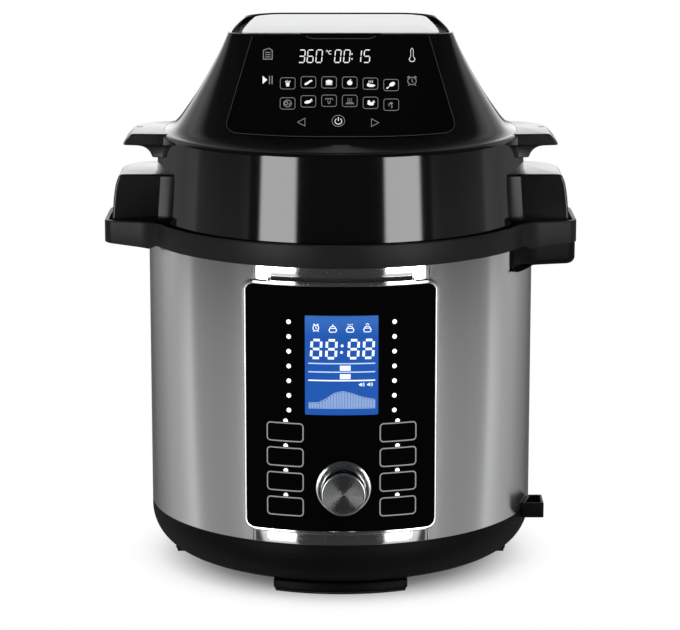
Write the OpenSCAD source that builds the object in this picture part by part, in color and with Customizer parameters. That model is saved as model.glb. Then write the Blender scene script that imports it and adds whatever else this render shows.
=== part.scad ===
// Electric pressure cooker standing on a table, wearing its air-fry lid.
// Millimetres. +Z is up, the control panel faces -Y, and the origin is on the
// table, under the middle of the cooker.
// The steel body (wrap, front strip, lower shell, upper ring with two wings)
// stays put. The lid, the cooking pot, the knob, eight keys, the fan rotor,
// the temperature sensor and the condensate cup are pieces that move.

/* [Steel body] */
// Outer radius of the steel body
body_r = 138; // [136:0.5:146]
// Thickness of the steel sheet
sheet = 0.8; // [0.5:0.1:1.2]
// Height of the lower edge of the steel above the table
body_z0 = 42; // [40:0.5:48]
// Height of the steel body
body_h = 194.5; // [194:0.5:210]
// Half-width of the polished strip behind the control panel
strip_x = 60; // [56:0.5:64]
// Gap at each seam between the strip and the wrap
seam = 0.5; // [0.2:0.1:1.5]

/* [Lower shell] */
// Height of the flat underside of the lower shell
bowl_z0 = 9; // [7:0.5:12]
// Radius of the rounding from the side to the underside
bowl_round = 29; // [16:0.5:30]
// Wall of the lower shell
bowl_wall = 2.6; // [2:0.1:3.4]
// How far the service opening in the floor stays inside the steel body
service_in = 52; // [48:0.5:58]
// Thickness of the sheet that closes the service opening
cover_t = 0.8; // [0.6:0.1:1.2]
// Height of the lip that locates the steel body
lip_h = 8; // [5:0.5:12]
// Number of screws in the bottom cover
screw_count = 4; // [3:1:6]

/* [Feet] */
// Width of the front foot and of the rear foot
foot_w = 94; // [80:1:110]
// How far the front and rear feet stay inside the steel body
foot_in = 21; // [18:0.5:24]
// Depth of the front and rear feet
foot_d = 18; // [14:0.5:22]
// Thickness of the rubber pads
pad_t = 1.6; // [1:0.1:2.4]
// How far the two side feet stay inside the steel body
side_foot_in = 16.5; // [14:0.5:20]
// Width of a side foot
side_foot_w = 20; // [14:1:26]

/* [Upper ring] */
// How far the upper ring stands out from the steel
ring_proud = 2.5; // [1.5:0.1:4]
// Height of the upper ring
ring_h = 16; // [15:0.5:20]
// Depth of the channel that takes the lid
channel_d = 5.5; // [4:0.1:6.5]
// Wall outside the channel
ring_wall = 3; // [2.4:0.1:3.6]
// Thickness of the ring's deck under the channel
deck_t = 6; // [5:0.1:6.5]
// How far a wing reaches beyond the steel body
wing_reach = 31; // [28:0.1:33]
// Half-width of a wing at its end, up to its sharp corner
wing_y = 42.5; // [40:0.5:44]
// Angle at which a wing widens towards the ring
wing_slant = 34; // [32:0.5:35]
// How much higher the ring's wall is along the wings
// Radius of the fillet between a wing and the ring
wing_fillet = 60; // [40:1:80]
// Radius of the outer corners of a wing
wing_corner = 8; // [6:0.5:10]
// Depth of the socket housing below the right wing
housing_h = 17; // [15:0.5:22]

/* [Control panel] */
// Half-width of the panel over its chrome frame
panel_x = 67.3; // [66:0.1:70]
// Steel that shows below the frame
panel_low = 9; // [8:0.5:10]
// Steel that shows above the frame
panel_high = 9.5; // [8:0.5:11]
// Corner radius of the frame
panel_corner = 8; // [5:0.5:12]
// Width of the frame seen from the front
frame_w = 2.5; // [1.5:0.1:3.5]
// Thickness of the black glass
glass_t = 1.8; // [1.2:0.1:2.4]
// How far the frame stands out from the steel
frame_proud = 4.7; // [4.5:0.1:6]
// Centre of the printed layout from the middle of the panel
print_x = 0.7; // [-1:0.1:2]
// Width of the display window
lcd_w = 49.9; // [46:0.1:52]
// Distance of the display from the frame's upper edge
lcd_top = 22.5; // [20:0.1:24]
// Distance of the display from the top keys
lcd_gap = 6.1; // [4:0.1:8]
// Distance of the top light from the display's upper edge
light_top = 4.8; // [2:0.1:6]
// Distance of the lowest light from the display's lower edge
light_low = 2.6; // [2:0.1:5]
// Number of lights on each side
light_count = 7; // [4:1:8]
// Distance of the lights from the layout's centre
light_x = 36; // [34:0.1:38]
// Diameter of an indicator light
light_d = 3.2; // [2.4:0.1:3.8]
// Width of a key
key_w = 26.7; // [24:0.1:28]
// Height of a key
key_h = 13.8; // [12:0.1:15]
// Distance of the keys from the layout's centre
key_x = 38.8; // [38.5:0.1:40.5]
// Distance of the lowest key's middle from the frame's lower edge
key_low = 19; // [18:0.1:20]
// Spacing of the keys
key_pitch = 17.5; // [16.5:0.1:18]
// Travel of a key
key_travel = 0.6; // [0.3:0.1:0.8]
// Gap around a key
key_gap = 0.3; // [0.2:0.05:0.5]

/* [Knob] */
// Knob centre from the middle of the panel
knob_x = 2; // [0:0.1:3]
// Distance of the knob's axis from the frame's lower edge
knob_low = 34; // [31:0.5:37]
// Radius of the collar around the knob
collar_r = 19; // [18:0.1:19.5]
// Radius of the knob at its foot
knob_r0 = 16.3; // [15.5:0.1:16.6]
// Radius of the knob's face
knob_r1 = 14.9; // [13:0.1:15.4]
// How far the knob's face stands out from the steel body
knob_out = 25; // [22:0.5:32]
// Radius of the knob's shaft
knob_shaft_r = 3; // [2.5:0.1:3.5]

/* [Pot and heater] */
// Wall of the cooking pot
pot_wall = 1.2; // [0.8:0.1:1.6]
// Thickness of the pot's bottom
pot_base = 2.5; // [2:0.1:4]
// How far the inside of the liner lies within the steel body
liner_in = 24; // [23.5:0.1:24.5]
// Gap between the cooking pot and the liner
pot_gap = 2.8; // [1.8:0.1:4.8]
// Height of the liner's floor above the table
liner_z = 58; // [56:0.5:60]
// How far the heating plate stays inside the liner
heater_in = 16; // [12:0.5:22]
// Thickness of the heating plate
heater_t = 9; // [7:0.5:11]
// Height of the posts under the heating plate
post_h = 7; // [5:0.5:8]
// Radius of the temperature sensor's cap
sensor_r = 13; // [10:0.5:15]
// Travel of the temperature sensor
sensor_travel = 2.5; // [1.5:0.1:3]

/* [Rear] */
// Width of the condensate cup
cup_w = 56; // [48:1:64]
// Height of the condensate cup
cup_h = 45; // [36:1:52]
// How far the cup's outer face stands out from the steel body
cup_out = 25; // [22:0.5:32]
// Wall of the condensate cup
cup_wall = 2; // [1.4:0.1:2.4]
// Distance of the power inlet from the middle, seen from the front
inlet_x = 50; // [44:1:56]

/* [Spoon holder] */
// How far the holder stands out from the steel body
holder_out = 8.5; // [7:0.1:11]
// Distance of the holder's front face from the cooker's middle
holder_front = 46; // [40:0.5:50]
// Length of the holder from front to back
holder_l = 23; // [20:0.5:34]
// How far the holder reaches below the steel's lower edge
holder_low = 6; // [5:0.5:12]
// Height of the holder
holder_h = 11; // [10:0.5:20]

/* [Lid body] */
// Gap between the lid's skirt and the wall of the channel
skirt_gap = 7.5; // [5.5:0.5:9]
// Wall of the lid's skirt
skirt_wall = 2.4; // [2:0.1:2.8]
// Height of the lid's skirt up to the shoulder
skirt_h = 66.2; // [64:0.1:70]
// Radius of the rounding at the shoulder
shoulder_round = 4; // [3:0.5:6]
// Height of the dome above the shoulder
dome_rise = 75; // [68:0.5:82]
// Half-width of the lid's top edge
top_x = 78.5; // [76:0.5:82]
// Distance from the axis to the front of the top edge
top_front = 75; // [73:0.5:78]
// Distance from the axis to the rear of the top edge
top_rear = 75.5; // [74:0.5:81]
// Corner radius at the front of the top edge
top_corner_front = 14; // [10:0.5:20]
// Corner radius at the rear of the top edge
top_corner_rear = 30; // [20:0.5:34]
// Share of its width that the top loses towards the rear
top_taper = 0.12; // [0:0.01:0.14]
// Wall of the dome
dome_wall = 2.5; // [2:0.1:3]
// Half-width of the touch panel at its lower edge
touch_x0 = 77; // [72:0.5:80]
// Half-width of the touch panel at its upper edge
touch_x1 = 61; // [57:0.5:62]
// Thickness of the touch panel
touch_t = 1.2; // [0.8:0.1:1.8]
// Gap between the top plate and the top edge, at the front
vent_gap = 9.5; // [8:0.5:12]

/* [Lid handles and side blocks] */
// How far a handle reaches beyond the skirt
handle_reach = 23.9; // [20:0.1:28]
// Half-width of a handle
handle_y = 34; // [30:0.5:36]
// Thickness of a handle at its end
handle_t = 8.8; // [7:0.1:11]
// Thickness of a handle at its root
handle_root = 16.8; // [14:0.1:19]
// Gap for the fingers between a handle and the side block below it
finger_gap = 12.3; // [10:0.1:20]
// Gap between a side block's end and the wall of the wing
block_gap = 2.2; // [1.5:0.1:4]
// Half-width of a side block
block_y = 33; // [30:0.5:34]
// How far the end of a side block leans in
block_lean = 6.3; // [0:0.1:7]
// Wall of a side block
block_wall = 2.6; // [2:0.1:3.2]

/* [Heater and fans in the lid] */
// How far the cooking chamber's inside lies within the skirt
chamber_in = 20; // [19:0.5:24]
// Height of the cooking chamber in the lid
chamber_h = 43; // [40:0.5:46]
// Radius of the inner turn of the heating element
turn_r0 = 62; // [58:0.5:64]
// Radius of the outer turn of the heating element
turn_r1 = 79; // [78:0.5:84]
// Radius of the heating element's tube
tube_r = 3.3; // [2.5:0.1:3.5]
// Radius of the hot-air fan
fan_r = 50; // [40:0.5:52]
// Number of blades on each fan
blade_count = 10; // [6:1:14]
// Radius of the fan motor
motor_r = 27; // [22:0.5:30]
// Height of the fan motor
motor_h = 26; // [20:0.5:30]
// Radius of the rotor shaft
shaft_r = 3; // [2.5:0.1:4]

/* [Hidden] */
$fn = 180;

// Clearance between pieces that are fixed to each other
seat = 0.1;
// Clearance between pieces that slide or lift out
slip = 0.4;
// Radial clearance of a turning shaft
run_fit = 0.05;
// How far a cutting solid runs past what it cuts
past = 1;

black = "#17181a";
gloss = "#0b0c0d";
steel = "#b4b6b8";
chrome = "#d8dadc";
tin = "#9a9c9e";
pcb = "#1f5a36";

body_z1 = body_z0 + body_h;
body_in = body_r - sheet;
ring_r = body_r + ring_proud;
wing_x = body_r + wing_reach;
ring_z1 = body_z1 + ring_h;
deck_z = ring_z1 - channel_d;
deck_z0 = deck_z - deck_t;
strip_angle = asin(strip_x / body_r);
seam_angle = seam / body_r * 180 / PI;

// Ends of the lower shell's side wall, and the centre of its rounding
bowl_r0 = body_r - bowl_round;
service_r = body_r - service_in;
foot_r = body_r - foot_in;
side_foot_r = body_r - side_foot_in;
bowl_zc = bowl_z0 + bowl_round;

// Heights on the panel, the keys counted from its lower edge and the display
// and the lights from its upper edge
panel_z0 = body_z0 + panel_low;
panel_z1 = body_z1 - panel_high;
key_z = panel_z0 + key_low;
knob_z = panel_z0 + knob_low;
lcd_z1 = panel_z1 - lcd_top;
lcd_z0 = key_z + 3 * key_pitch + key_h / 2 + lcd_gap;
lcd_z = (lcd_z0 + lcd_z1) / 2;
lcd_h = lcd_z1 - lcd_z0;
light_z = lcd_z1 - light_top;
light_pitch = (lcd_h - light_top - light_low) / (light_count - 1);

// Panel layers, counted outwards from the steel
frame_r = body_r + frame_proud;
glass_r = frame_r - 0.5;
glass_in = glass_r - glass_t;
housing_r0 = body_r + 0.2;
housing_r1 = glass_in - seat;
panel_mid = (panel_z0 + panel_z1) / 2;
panel_h = panel_z1 - panel_z0;
glass_x = panel_x - frame_w;
glass_h = panel_h - 2 * frame_w;
tub_x = strip_x - 11;
tub_h = panel_h - 14;
tub_wall = 2;
tub_y = body_r - 15.4;
board_y = tub_y + tub_wall + seat;
board_t = 1.6;
board_front = board_y + board_t;
stem_r = 2;
key_face = glass_r - 0.1;
key_back = housing_r0 + 0.4;
switch_h = 2.4;

// Pot, liner and heater, counted upwards from the liner's floor
liner_r = body_r - liner_in;
liner_out = liner_r + sheet;
pot_r = liner_r - pot_gap - pot_wall;
heater_r = liner_r - heater_in;
post_z = liner_z + sheet;
heater_z0 = post_z + post_h;
heater_z1 = heater_z0 + heater_t;
pot_z0 = heater_z1 + 0.3;
flange_t = 1.5;
ledge_z = deck_z - 4;
pot_flange_z = ledge_z + 0.2;
pot_out = pot_r + pot_wall;
pot_flange_r = liner_r + 4.8;
ring_bore = liner_r + 2.2;
ledge_r = pot_flange_r + 0.7;
sensor_bore = sensor_r + 0.6;

// Lid, counted upwards from the ring's deck
lid_z0 = deck_z + 0.3;
shoulder_z = lid_z0 + skirt_h;
top_z = shoulder_z + dome_rise;
skirt_r = ring_r - ring_wall - skirt_gap;
skirt_in = skirt_r - skirt_wall;
chamber_r = skirt_r - chamber_in;
ledge_lid_z = lid_z0 + 3;
ledge_lid_t = 2.4;
ledge_lid_r = chamber_r + 8;
chamber_z0 = ledge_lid_z - seat - sheet;
chamber_z1 = chamber_z0 + chamber_h;
shield_r = ledge_lid_r + 2.6;
shield_z0 = ledge_lid_z + ledge_lid_t + seat;
shield_z1 = chamber_z1 + 8;
bracket_t = 2;
motor_z0 = shield_z1 + seat + bracket_t + seat;
motor_z1 = motor_z0 + motor_h;
turn_z = chamber_z0 + 18;
grille_z = chamber_z0 + 6;
fan_z1 = chamber_z1 - sheet - 3;
fan_h = 11;
dome_z0 = shoulder_z + seat;
dome_r = skirt_r - 2.5;
dome_h = top_z - dome_z0;

// ---------- shapes that several pieces share ----------

// A flat ring with straight sides between two radii and two heights.
module tube(r0, r1, z0, z1)
    translate([0, 0, z0])
        difference() {
            cylinder(r = r1, h = z1 - z0);
            translate([0, 0, -past])
                cylinder(r = r0, h = z1 - z0 + 2 * past);
        }

// A rectangle with four rounded corners, centred on the origin.
module rounded_rect(w, h, r) {
    square([w - 2 * r, h], center = true);
    square([w, h - 2 * r], center = true);
    for (x = [-1, 1], y = [-1, 1])
        translate([x * (w / 2 - r), y * (h / 2 - r)])
            circle(r = r);
}

// Extrudes a flat shape, drawn as seen from the front, along -Y between two
// distances from the cooker's axis.
module from_front(x, z, y0, y1)
    translate([x, -y0, z])
        rotate([90, 0, 0])
            linear_extrude(y1 - y0)
                children();

// The same, turned about the axis so that the shape faces along a radius.
module from_radius(angle, z, r0, r1)
    rotate([0, 0, angle])
        from_front(0, z, r0, r1)
            children();

// Extrudes a profile drawn in X and Z along Y, centred, over a width.
module across(w)
    translate([0, w / 2, 0])
        rotate([90, 0, 0])
            linear_extrude(w)
                children();

// The part of a wall between two radii that lies inside the panel outline.
module panel_layer(half_w, h, corner, r0, r1)
    intersection() {
        tube(r0, r1, panel_mid - h / 2 - past, panel_mid + h / 2 + past);
        from_front(0, panel_mid, r0 / 2, r1 + past)
            rounded_rect(2 * half_w, h, corner);
    }

// Points of a wing's rear side, from its end to where its fillet meets the
// circle of radius r. y is the half-width at the end, up to the sharp corner.
function wing_side(r, x, y, fillet, corner, inset, slant) =
    let (side = x * sin(slant) + y * cos(slant),
        reach = sqrt(pow(r + fillet, 2) - pow(side + fillet, 2)),
        root = [sin(slant) * (side + fillet) + cos(slant) * reach,
            cos(slant) * (side + fillet) - sin(slant) * reach],
        touch = atan2(root[1], root[0]),
        cx = x - corner,
        cy = (side - corner - sin(slant) * cx) / cos(slant))
    concat([for (i = [0 : 12]) let (a = i * (90 - slant) / 12)
            [cx + (corner - inset) * cos(a), cy + (corner - inset) * sin(a)]],
        [for (i = [0 : 12]) let (a = 270 - slant + i * (slant + touch - 90) / 12)
            (i == 12 ? 0.9998 : 1) * [root[0] + (fillet + inset) * cos(a), root[1] + (fillet + inset) * sin(a)]]);

// One wing in plan: a tab to +X that widens by the slant and runs into the
// circle. A positive inset draws the same outline further in.
module wing_outline(r, x, y, fillet, corner, inset, slant = 0, rear = 0) {
    back = wing_side(r, x, y, fillet, rear > 0 ? rear : corner, inset, slant);
    front = wing_side(r, x, y, fillet, corner, inset, slant);
    polygon(concat([[0, 0]],
        [for (i = [len(front) - 1 : -1 : 0]) [front[i][0], -front[i][1]]], back));
}

// Runs its children on the right and, mirrored, on the left.
module both_sides() {
    children();
    mirror([1, 0, 0])
        children();
}

// ---------- steel body ----------

module outer_shell()
    color(steel)
        rotate([0, 0, -90 + strip_angle + seam_angle])
            rotate_extrude(angle = 360 - 2 * (strip_angle + seam_angle))
                translate([body_in, body_z0])
                    square([sheet, body_h]);

module front_strip()
    color(chrome)
        difference() {
            rotate([0, 0, -90 - strip_angle])
                rotate_extrude(angle = 2 * strip_angle)
                    translate([body_in, body_z0])
                        square([sheet, body_h]);
            from_front(0, panel_mid, body_r / 2, body_r + past)
                square([2 * tub_x + 2 * slip, tub_h + 2 * slip], center = true);
        }

// ---------- lower shell and what it stands on ----------

// Outline of the lower shell, or of its hollow when the inset is positive.
function bowl_points(inset, top) =
    concat([[service_r, bowl_z0 + inset]],
        [for (i = [0 : 16]) let (a = -90 + i * 90 / 16)
            [bowl_r0 + (bowl_round - inset) * cos(a), bowl_zc + (bowl_round - inset) * sin(a)]],
        [[body_r - inset, top], [service_r, top]]);

inlet_w = 30;
inlet_h = 23;
inlet_in = 31;
inlet_y = body_r - inlet_in;
inlet_z = bowl_z0 + 6 + inlet_h / 2;
column_r = service_r + 18;
column_d = 9;

module base_shell()
    color(black)
        difference() {
            union() {
                rotate_extrude()
                    difference() {
                        polygon(bowl_points(0, body_z0 - seat));
                        translate([-past, 0])
                            polygon(bowl_points(bowl_wall, body_z0));
                        polygon(bowl_points(bowl_wall, body_z0));
                    }
                tube(body_in - slip - bowl_wall, body_in - slip, body_z0 - 6, body_z0 + lip_h);
                tube(body_in - slip - bowl_wall, body_r - 1, body_z0 - 6, body_z0 - seat);
                for (a = [45 : 90 : 315])
                    rotate([0, 0, a])
                        translate([column_r, 0, bowl_z0 + 1])
                            cylinder(d = column_d, h = liner_z - seat - bowl_z0 - 1);
                tube(service_r, service_r + 12, bowl_z0, bowl_z0 + bowl_wall + 2);
            }
            translate([inlet_x, inlet_y, inlet_z])
                rotate([-90, 0, 0])
                    linear_extrude(body_r)
                        square([inlet_w + 2 * slip, inlet_h + 2 * slip], center = true);
            for (i = [0 : screw_count - 1])
                rotate([0, 0, 20 + i * 360 / screw_count])
                    translate([service_r + 5, 0, 0])
                        cylinder(r = screw_r + run_fit, h = bowl_z0 + bowl_wall + 2 + past);
        }

screw_r = 1.75;
screw_head = 3.4;

module bottom_cover()
    color(tin)
        difference() {
            translate([0, 0, bowl_z0 - cover_t - seat])
                cylinder(r = service_r + 9, h = cover_t);
            for (i = [0 : screw_count - 1])
                rotate([0, 0, 20 + i * 360 / screw_count])
                    translate([service_r + 5, 0, 0])
                        cylinder(r = screw_r + 0.3, h = bowl_z0);
            for (ring = [1 : 4], i = [0 : 11])
                rotate([0, 0, i * 30 + ring * 7])
                    translate([24 + 12 * ring, 0, 0])
                        cylinder(r = 2.6, h = bowl_z0);
        }

module cover_screws()
    color(tin)
        for (i = [0 : screw_count - 1])
            rotate([0, 0, 20 + i * 360 / screw_count])
                translate([service_r + 5, 0, bowl_z0 - cover_t - 2 * seat - 1.8]) {
                    cylinder(r = screw_head, h = 1.8);
                    cylinder(r = screw_r, h = 1.8 + cover_t + bowl_wall + 2);
                }

// A foot under the rim: an arc of the lower shell, clipped to its width.
module arc_foot(z0, z1, shrink)
    intersection() {
        tube(foot_r - foot_d + shrink, foot_r - shrink, z0, z1);
        translate([-foot_w / 2 + shrink, -foot_r - past, z0 - past])
            cube([foot_w - 2 * shrink, foot_r, z1 - z0 + 2 * past]);
    }

// A side foot: a rounded block that reaches out from under the flat floor.
module side_foot(z0, z1, shrink)
    intersection() {
        translate([bowl_r0 - 12 + shrink, -side_foot_w / 2 + shrink, z0])
            cube([side_foot_r - bowl_r0 + 12 - 2 * shrink, side_foot_w - 2 * shrink, z1 - z0]);
        cylinder(r = side_foot_r - shrink, h = z1 + past);
    }

module feet()
    color(black) {
        for (a = [0, 180])
            rotate([0, 0, a])
                arc_foot(pad_t + seat, bowl_z0 - seat, 0);
        both_sides()
            side_foot(pad_t + seat, bowl_z0 - seat, 0);
    }

module foot_pads()
    color("#26282a") {
        arc_foot(0, pad_t, 1.2);
        rotate([0, 0, 180])
            arc_foot(0, pad_t, 1.2);
        both_sides()
            side_foot(0, pad_t, 1);
    }

// ---------- upper ring ----------

pin_y = 9;
pin_x = (ring_r + wing_x) / 2 - 4;
pin_r = 2;
socket_w = 30;

module upper_ring()
    color(black)
        difference() {
            union() {
                translate([0, 0, body_z1 + seat])
                    linear_extrude(ring_h - seat) {
                        circle(r = ring_r);
                        both_sides()
                            wing_outline(ring_r, wing_x, wing_y, wing_fillet, wing_corner, 0, wing_slant);
                    }
                tube(body_in - slip - 3, body_in - slip, body_z1 - 7, body_z1 + 2);
            }
            translate([0, 0, deck_z])
                linear_extrude(channel_d + past) {
                    circle(r = ring_r - ring_wall);
                    both_sides()
                        wing_outline(ring_r, wing_x, wing_y, wing_fillet, wing_corner, ring_wall, wing_slant);
                }
            translate([0, 0, body_z1 - 8])
                cylinder(r = ring_bore, h = ring_h + 8 + past);
            translate([0, 0, ledge_z])
                cylinder(r = ledge_r, h = ring_h);
            translate([0, 0, body_z1 - 8])
                cylinder(r = body_in - slip - 3, h = 8 + deck_z0 - body_z1);
            for (y = [-pin_y, 0, pin_y])
                translate([pin_x, y, body_z1 - past])
                    cylinder(r = pin_r + 0.8, h = ring_h);
        }

// The housing under the right wing follows the wing and is rounded below.
module housing_solid(inset, z0, z1)
    intersection() {
        translate([0, 0, z0])
            linear_extrude(z1 - z0)
                difference() {
                    wing_outline(ring_r, wing_x, wing_y, wing_fillet, wing_corner, inset + 0.4, wing_slant);
                    circle(r = body_r + 0.3 + inset);
                }
        across(2 * (housing_y - inset)) {
            translate([0, z0 + housing_corner])
                square([wing_x - inset, z1 - z0 - housing_corner]);
            translate([0, z0])
                square([wing_x - inset - housing_corner, z1 - z0]);
            translate([wing_x - inset - housing_corner - 0.4, z0 + housing_corner])
                circle(r = housing_corner);
        }
    }

housing_corner = 7;
housing_y = wing_y + 27.5;
housing_wall = 2.2;
housing_z0 = body_z1 - housing_h;

module socket_housing()
    color(black)
        difference() {
            housing_solid(0, housing_z0, body_z1);
            housing_solid(housing_wall, housing_z0 + housing_wall, body_z1 + past);
        }

module lid_socket()
    color("#2c2e31")
        difference() {
            translate([pin_x - 7, -socket_w / 2, housing_z0 + housing_wall + seat])
                cube([14, socket_w, housing_h - housing_wall - 2 * seat]);
            for (y = [-pin_y, 0, pin_y])
                translate([pin_x, y, housing_z0 + 5])
                    cylinder(r = pin_r + 0.5, h = housing_h);
        }

// ---------- liner, heater and sensor ----------

module pot_liner()
    color(tin)
        difference() {
            union() {
                translate([0, 0, liner_z])
                    cylinder(r = liner_out, h = deck_z0 - seat - liner_z);
                translate([0, 0, deck_z0 - seat - sheet])
                    cylinder(r = ring_bore + 8, h = sheet);
            }
            translate([0, 0, liner_z + sheet])
                cylinder(r = liner_r, h = deck_z0 - liner_z);
            translate([0, 0, liner_z - past])
                cylinder(r = sensor_bore, h = 3 * past);
        }

post_in = 22;
post_r = 5;

module heater_posts()
    color(tin)
        for (a = [0 : 120 : 240])
            rotate([0, 0, a])
                translate([heater_r - post_in, 0, post_z + seat])
                    cylinder(r = post_r, h = post_h - 2 * seat);

module heater_plate()
    color("#a7a9ab")
        difference() {
            union() {
                translate([0, 0, heater_z0])
                    cylinder(r = heater_r, h = heater_t);
                // Cast rib that holds the heating tube
                tube(heater_r - 36, heater_r - 28, heater_z0 - 4, heater_z0 + 1);
            }
            translate([0, 0, heater_z0 - past])
                cylinder(r = sensor_bore, h = heater_t + 2 * past);
        }

sensor_top = heater_z1;
sensor_skirt = 11;
guide_r = sensor_r - 5;
guide_z0 = liner_z - 16;
guide_z1 = sensor_top - 3 - 2 * sensor_travel;

module sensor_guide()
    color("#c9c4b4")
        difference() {
            union() {
                translate([0, 0, guide_z0])
                    cylinder(r = guide_r, h = guide_z1 - guide_z0);
                tube(guide_r - 1, sensor_bore + 8, liner_z - 2.2, liner_z - seat);
            }
            translate([0, 0, guide_z0 + 3])
                cylinder(r = guide_r - 3, h = sensor_top);
        }

// Compression spring between the guide's floor and the sensor's stem.
module sensor_spring()
    color(steel)
        tube(guide_r - 4.4, guide_r - 3.3, guide_z0 + 3.2, guide_z0 + 3.2 + spring_h);

stem_len = 16;
spring_h = sensor_top - 2 - stem_len - 0.4 - guide_z0 - 3.2;

module sensor_button()
    color("#c4c6c8")
        difference() {
            union() {
                translate([0, 0, sensor_top - sensor_skirt])
                    cylinder(r = sensor_r, h = sensor_skirt);
                translate([0, 0, sensor_top - 2 - stem_len])
                    cylinder(r = guide_r - 3 - 0.3, h = stem_len);
            }
            tube(guide_r - 3 - 0.3, sensor_r - 1.2, sensor_top - sensor_skirt - past, sensor_top - 2);
        }

press_l = 34;
press_w = 22;
press_ear = 6;
press_x = heater_r - post_in - post_r - press_l - 7.4;

// A square body under the liner with a mounting ear at each end.
module pressure_switch()
    color("#3a3c40") {
        translate([press_x, -press_w / 2, liner_z - seat - press_w])
            cube([press_l, press_w, press_w]);
        translate([press_x - press_ear, -press_w / 2 + 3, liner_z - seat - 2])
            cube([press_l + 2 * press_ear, press_w - 6, 2]);
    }

// ---------- electrics in the base ----------

inlet_mouth_w = 24;
inlet_mouth_h = 17;
inlet_depth = 15;
inlet_len = 24;

// A block with a rectangular mouth to the rear and three flat pins inside.
module power_inlet()
    color("#1b1c1e")
        translate([inlet_x, inlet_y, inlet_z]) {
            difference() {
                translate([-inlet_w / 2, -2, -inlet_h / 2])
                    cube([inlet_w, inlet_len + 2, inlet_h]);
                translate([-inlet_mouth_w / 2, inlet_len - inlet_depth, -inlet_mouth_h / 2])
                    cube([inlet_mouth_w, inlet_depth + past, inlet_mouth_h]);
            }
            for (p = [[-7, -2], [0, 2.5], [7, -2]])
                translate([p[0] - 1, inlet_len - inlet_depth - past, p[1] - 2])
                    cube([2, inlet_depth - 2, 4]);
        }

board_z = bowl_z0 + bowl_wall + 5;
board_top = board_z + board_t - seat;
power_w = 90;
power_d = 56;
power_y = service_r - 16;
post_edge = 4;
choke_w = 24;
relay_w = 18;
can_r = 5;
can_h = 18;

// Mains board on four posts, with a choke, a relay and two capacitors. Its
// front edge is power_y in front of the middle.
module power_board()
    color(pcb)
        translate([0, -power_y, 0]) {
            translate([-power_w / 2, 0, board_z])
                cube([power_w, power_d, board_t]);
            translate([-power_w / 2 + 7, 6, board_top])
                cube([choke_w, choke_w, choke_w - 4]);
            translate([-4, 8, board_top])
                cube([relay_w, relay_w - 3, relay_w - 4]);
            for (i = [0, 1])
                translate([power_w / 2 - 21 + i * 12, power_d / 2 - 8, board_top])
                    cylinder(r = can_r, h = can_h);
            for (x = [-1, 1], y = [post_edge, power_d - post_edge])
                translate([x * (power_w / 2 - post_edge), y, bowl_z0])
                    cylinder(r = 3, h = board_z - bowl_z0 + 0.2);
        }

// ---------- control panel ----------

function light_angle(s) = asin((print_x + s * light_x) / glass_r);
function key_centre(s) = asin((print_x + s * key_x) / key_face);

// Distance of a key's stem from the cooker's axis. Its flat end is slanted to
// the switch, so that the inner edge is what touches when the key is down.
function stem_end(s) =
    (board_front + switch_h + seat + stem_r * sin(abs(key_centre(s)))) / cos(key_centre(s)) + key_travel;

module control_housing()
    color(black)
        difference() {
            union() {
                panel_layer(glass_x - seat, glass_h - 2 * seat, panel_corner - frame_w, housing_r0,
                    housing_r1);
                difference() {
                    intersection() {
                        from_front(0, panel_mid, tub_y, body_r + 1)
                            square([2 * tub_x, tub_h], center = true);
                        cylinder(r = housing_r0 + 0.4, h = panel_z1);
                    }
                    from_front(0, panel_mid, tub_y + tub_wall, body_r + 2)
                        square([2 * (tub_x - tub_wall), tub_h - 2 * tub_wall], center = true);
                }
            }
            from_front(print_x, lcd_z, body_r - 10, frame_r)
                rounded_rect(lcd_w + 2 * slip, lcd_h + 2 * slip, 1);
            from_front(knob_x, knob_z, body_r - 10, frame_r)
                circle(r = 6);
            light_holes(slip / 2);
            key_holes(key_gap);
        }

module light_holes(gap)
    for (s = [-1, 1], i = [0 : light_count - 1])
        from_radius(light_angle(s), light_z - i * light_pitch, body_r - 6, frame_r)
            circle(d = light_d + 2 * gap);

module key_holes(gap)
    for (s = [-1, 1], i = [0 : 3])
        from_radius(key_centre(s), key_z + i * key_pitch, body_r - 6, frame_r)
            rounded_rect(key_w + 2 * gap, key_h + 2 * gap, 2.4 + gap);

module panel_glass()
    color(gloss)
        difference() {
            panel_layer(glass_x - seat, glass_h - 2 * seat, panel_corner - frame_w, glass_in, glass_r);
            from_front(print_x, lcd_z, body_r - 10, frame_r)
                rounded_rect(lcd_w + 2 * seat, lcd_h + 2 * seat, 1);
            from_front(knob_x, knob_z, body_r - 10, frame_r)
                circle(r = collar_r + slip / 2);
            light_holes(seat);
            key_holes(key_gap);
        }

module panel_frame()
    color(chrome)
        difference() {
            panel_layer(panel_x, panel_h, panel_corner, housing_r0, frame_r);
            from_front(0, panel_mid, body_r / 2, frame_r + past)
                rounded_rect(2 * glass_x, glass_h, panel_corner - frame_w);
        }

module lcd_module()
    color("#2458c8")
        intersection() {
            from_front(print_x, lcd_z, board_front + 1, frame_r)
                rounded_rect(lcd_w, lcd_h, 1);
            cylinder(r = glass_r - 0.15, h = panel_z1);
        }

module indicator_lenses()
    color("white")
        for (s = [-1, 1], i = [0 : light_count - 1])
            from_radius(light_angle(s), light_z - i * light_pitch, body_r - 3, glass_r - 0.05)
                circle(d = light_d);

module control_board()
    color(pcb)
        from_front(0, panel_mid, board_y, board_front)
            square([2 * (tub_x - tub_wall) - 1, tub_h - 2 * tub_wall - 1], center = true);

module tact_switches()
    color("#303236")
        for (s = [-1, 1], i = [0 : 3])
            from_front(stem_end(s) * sin(key_centre(s)), key_z + i * key_pitch, board_front + seat,
                board_front + switch_h)
                square([6, 6], center = true);

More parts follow.
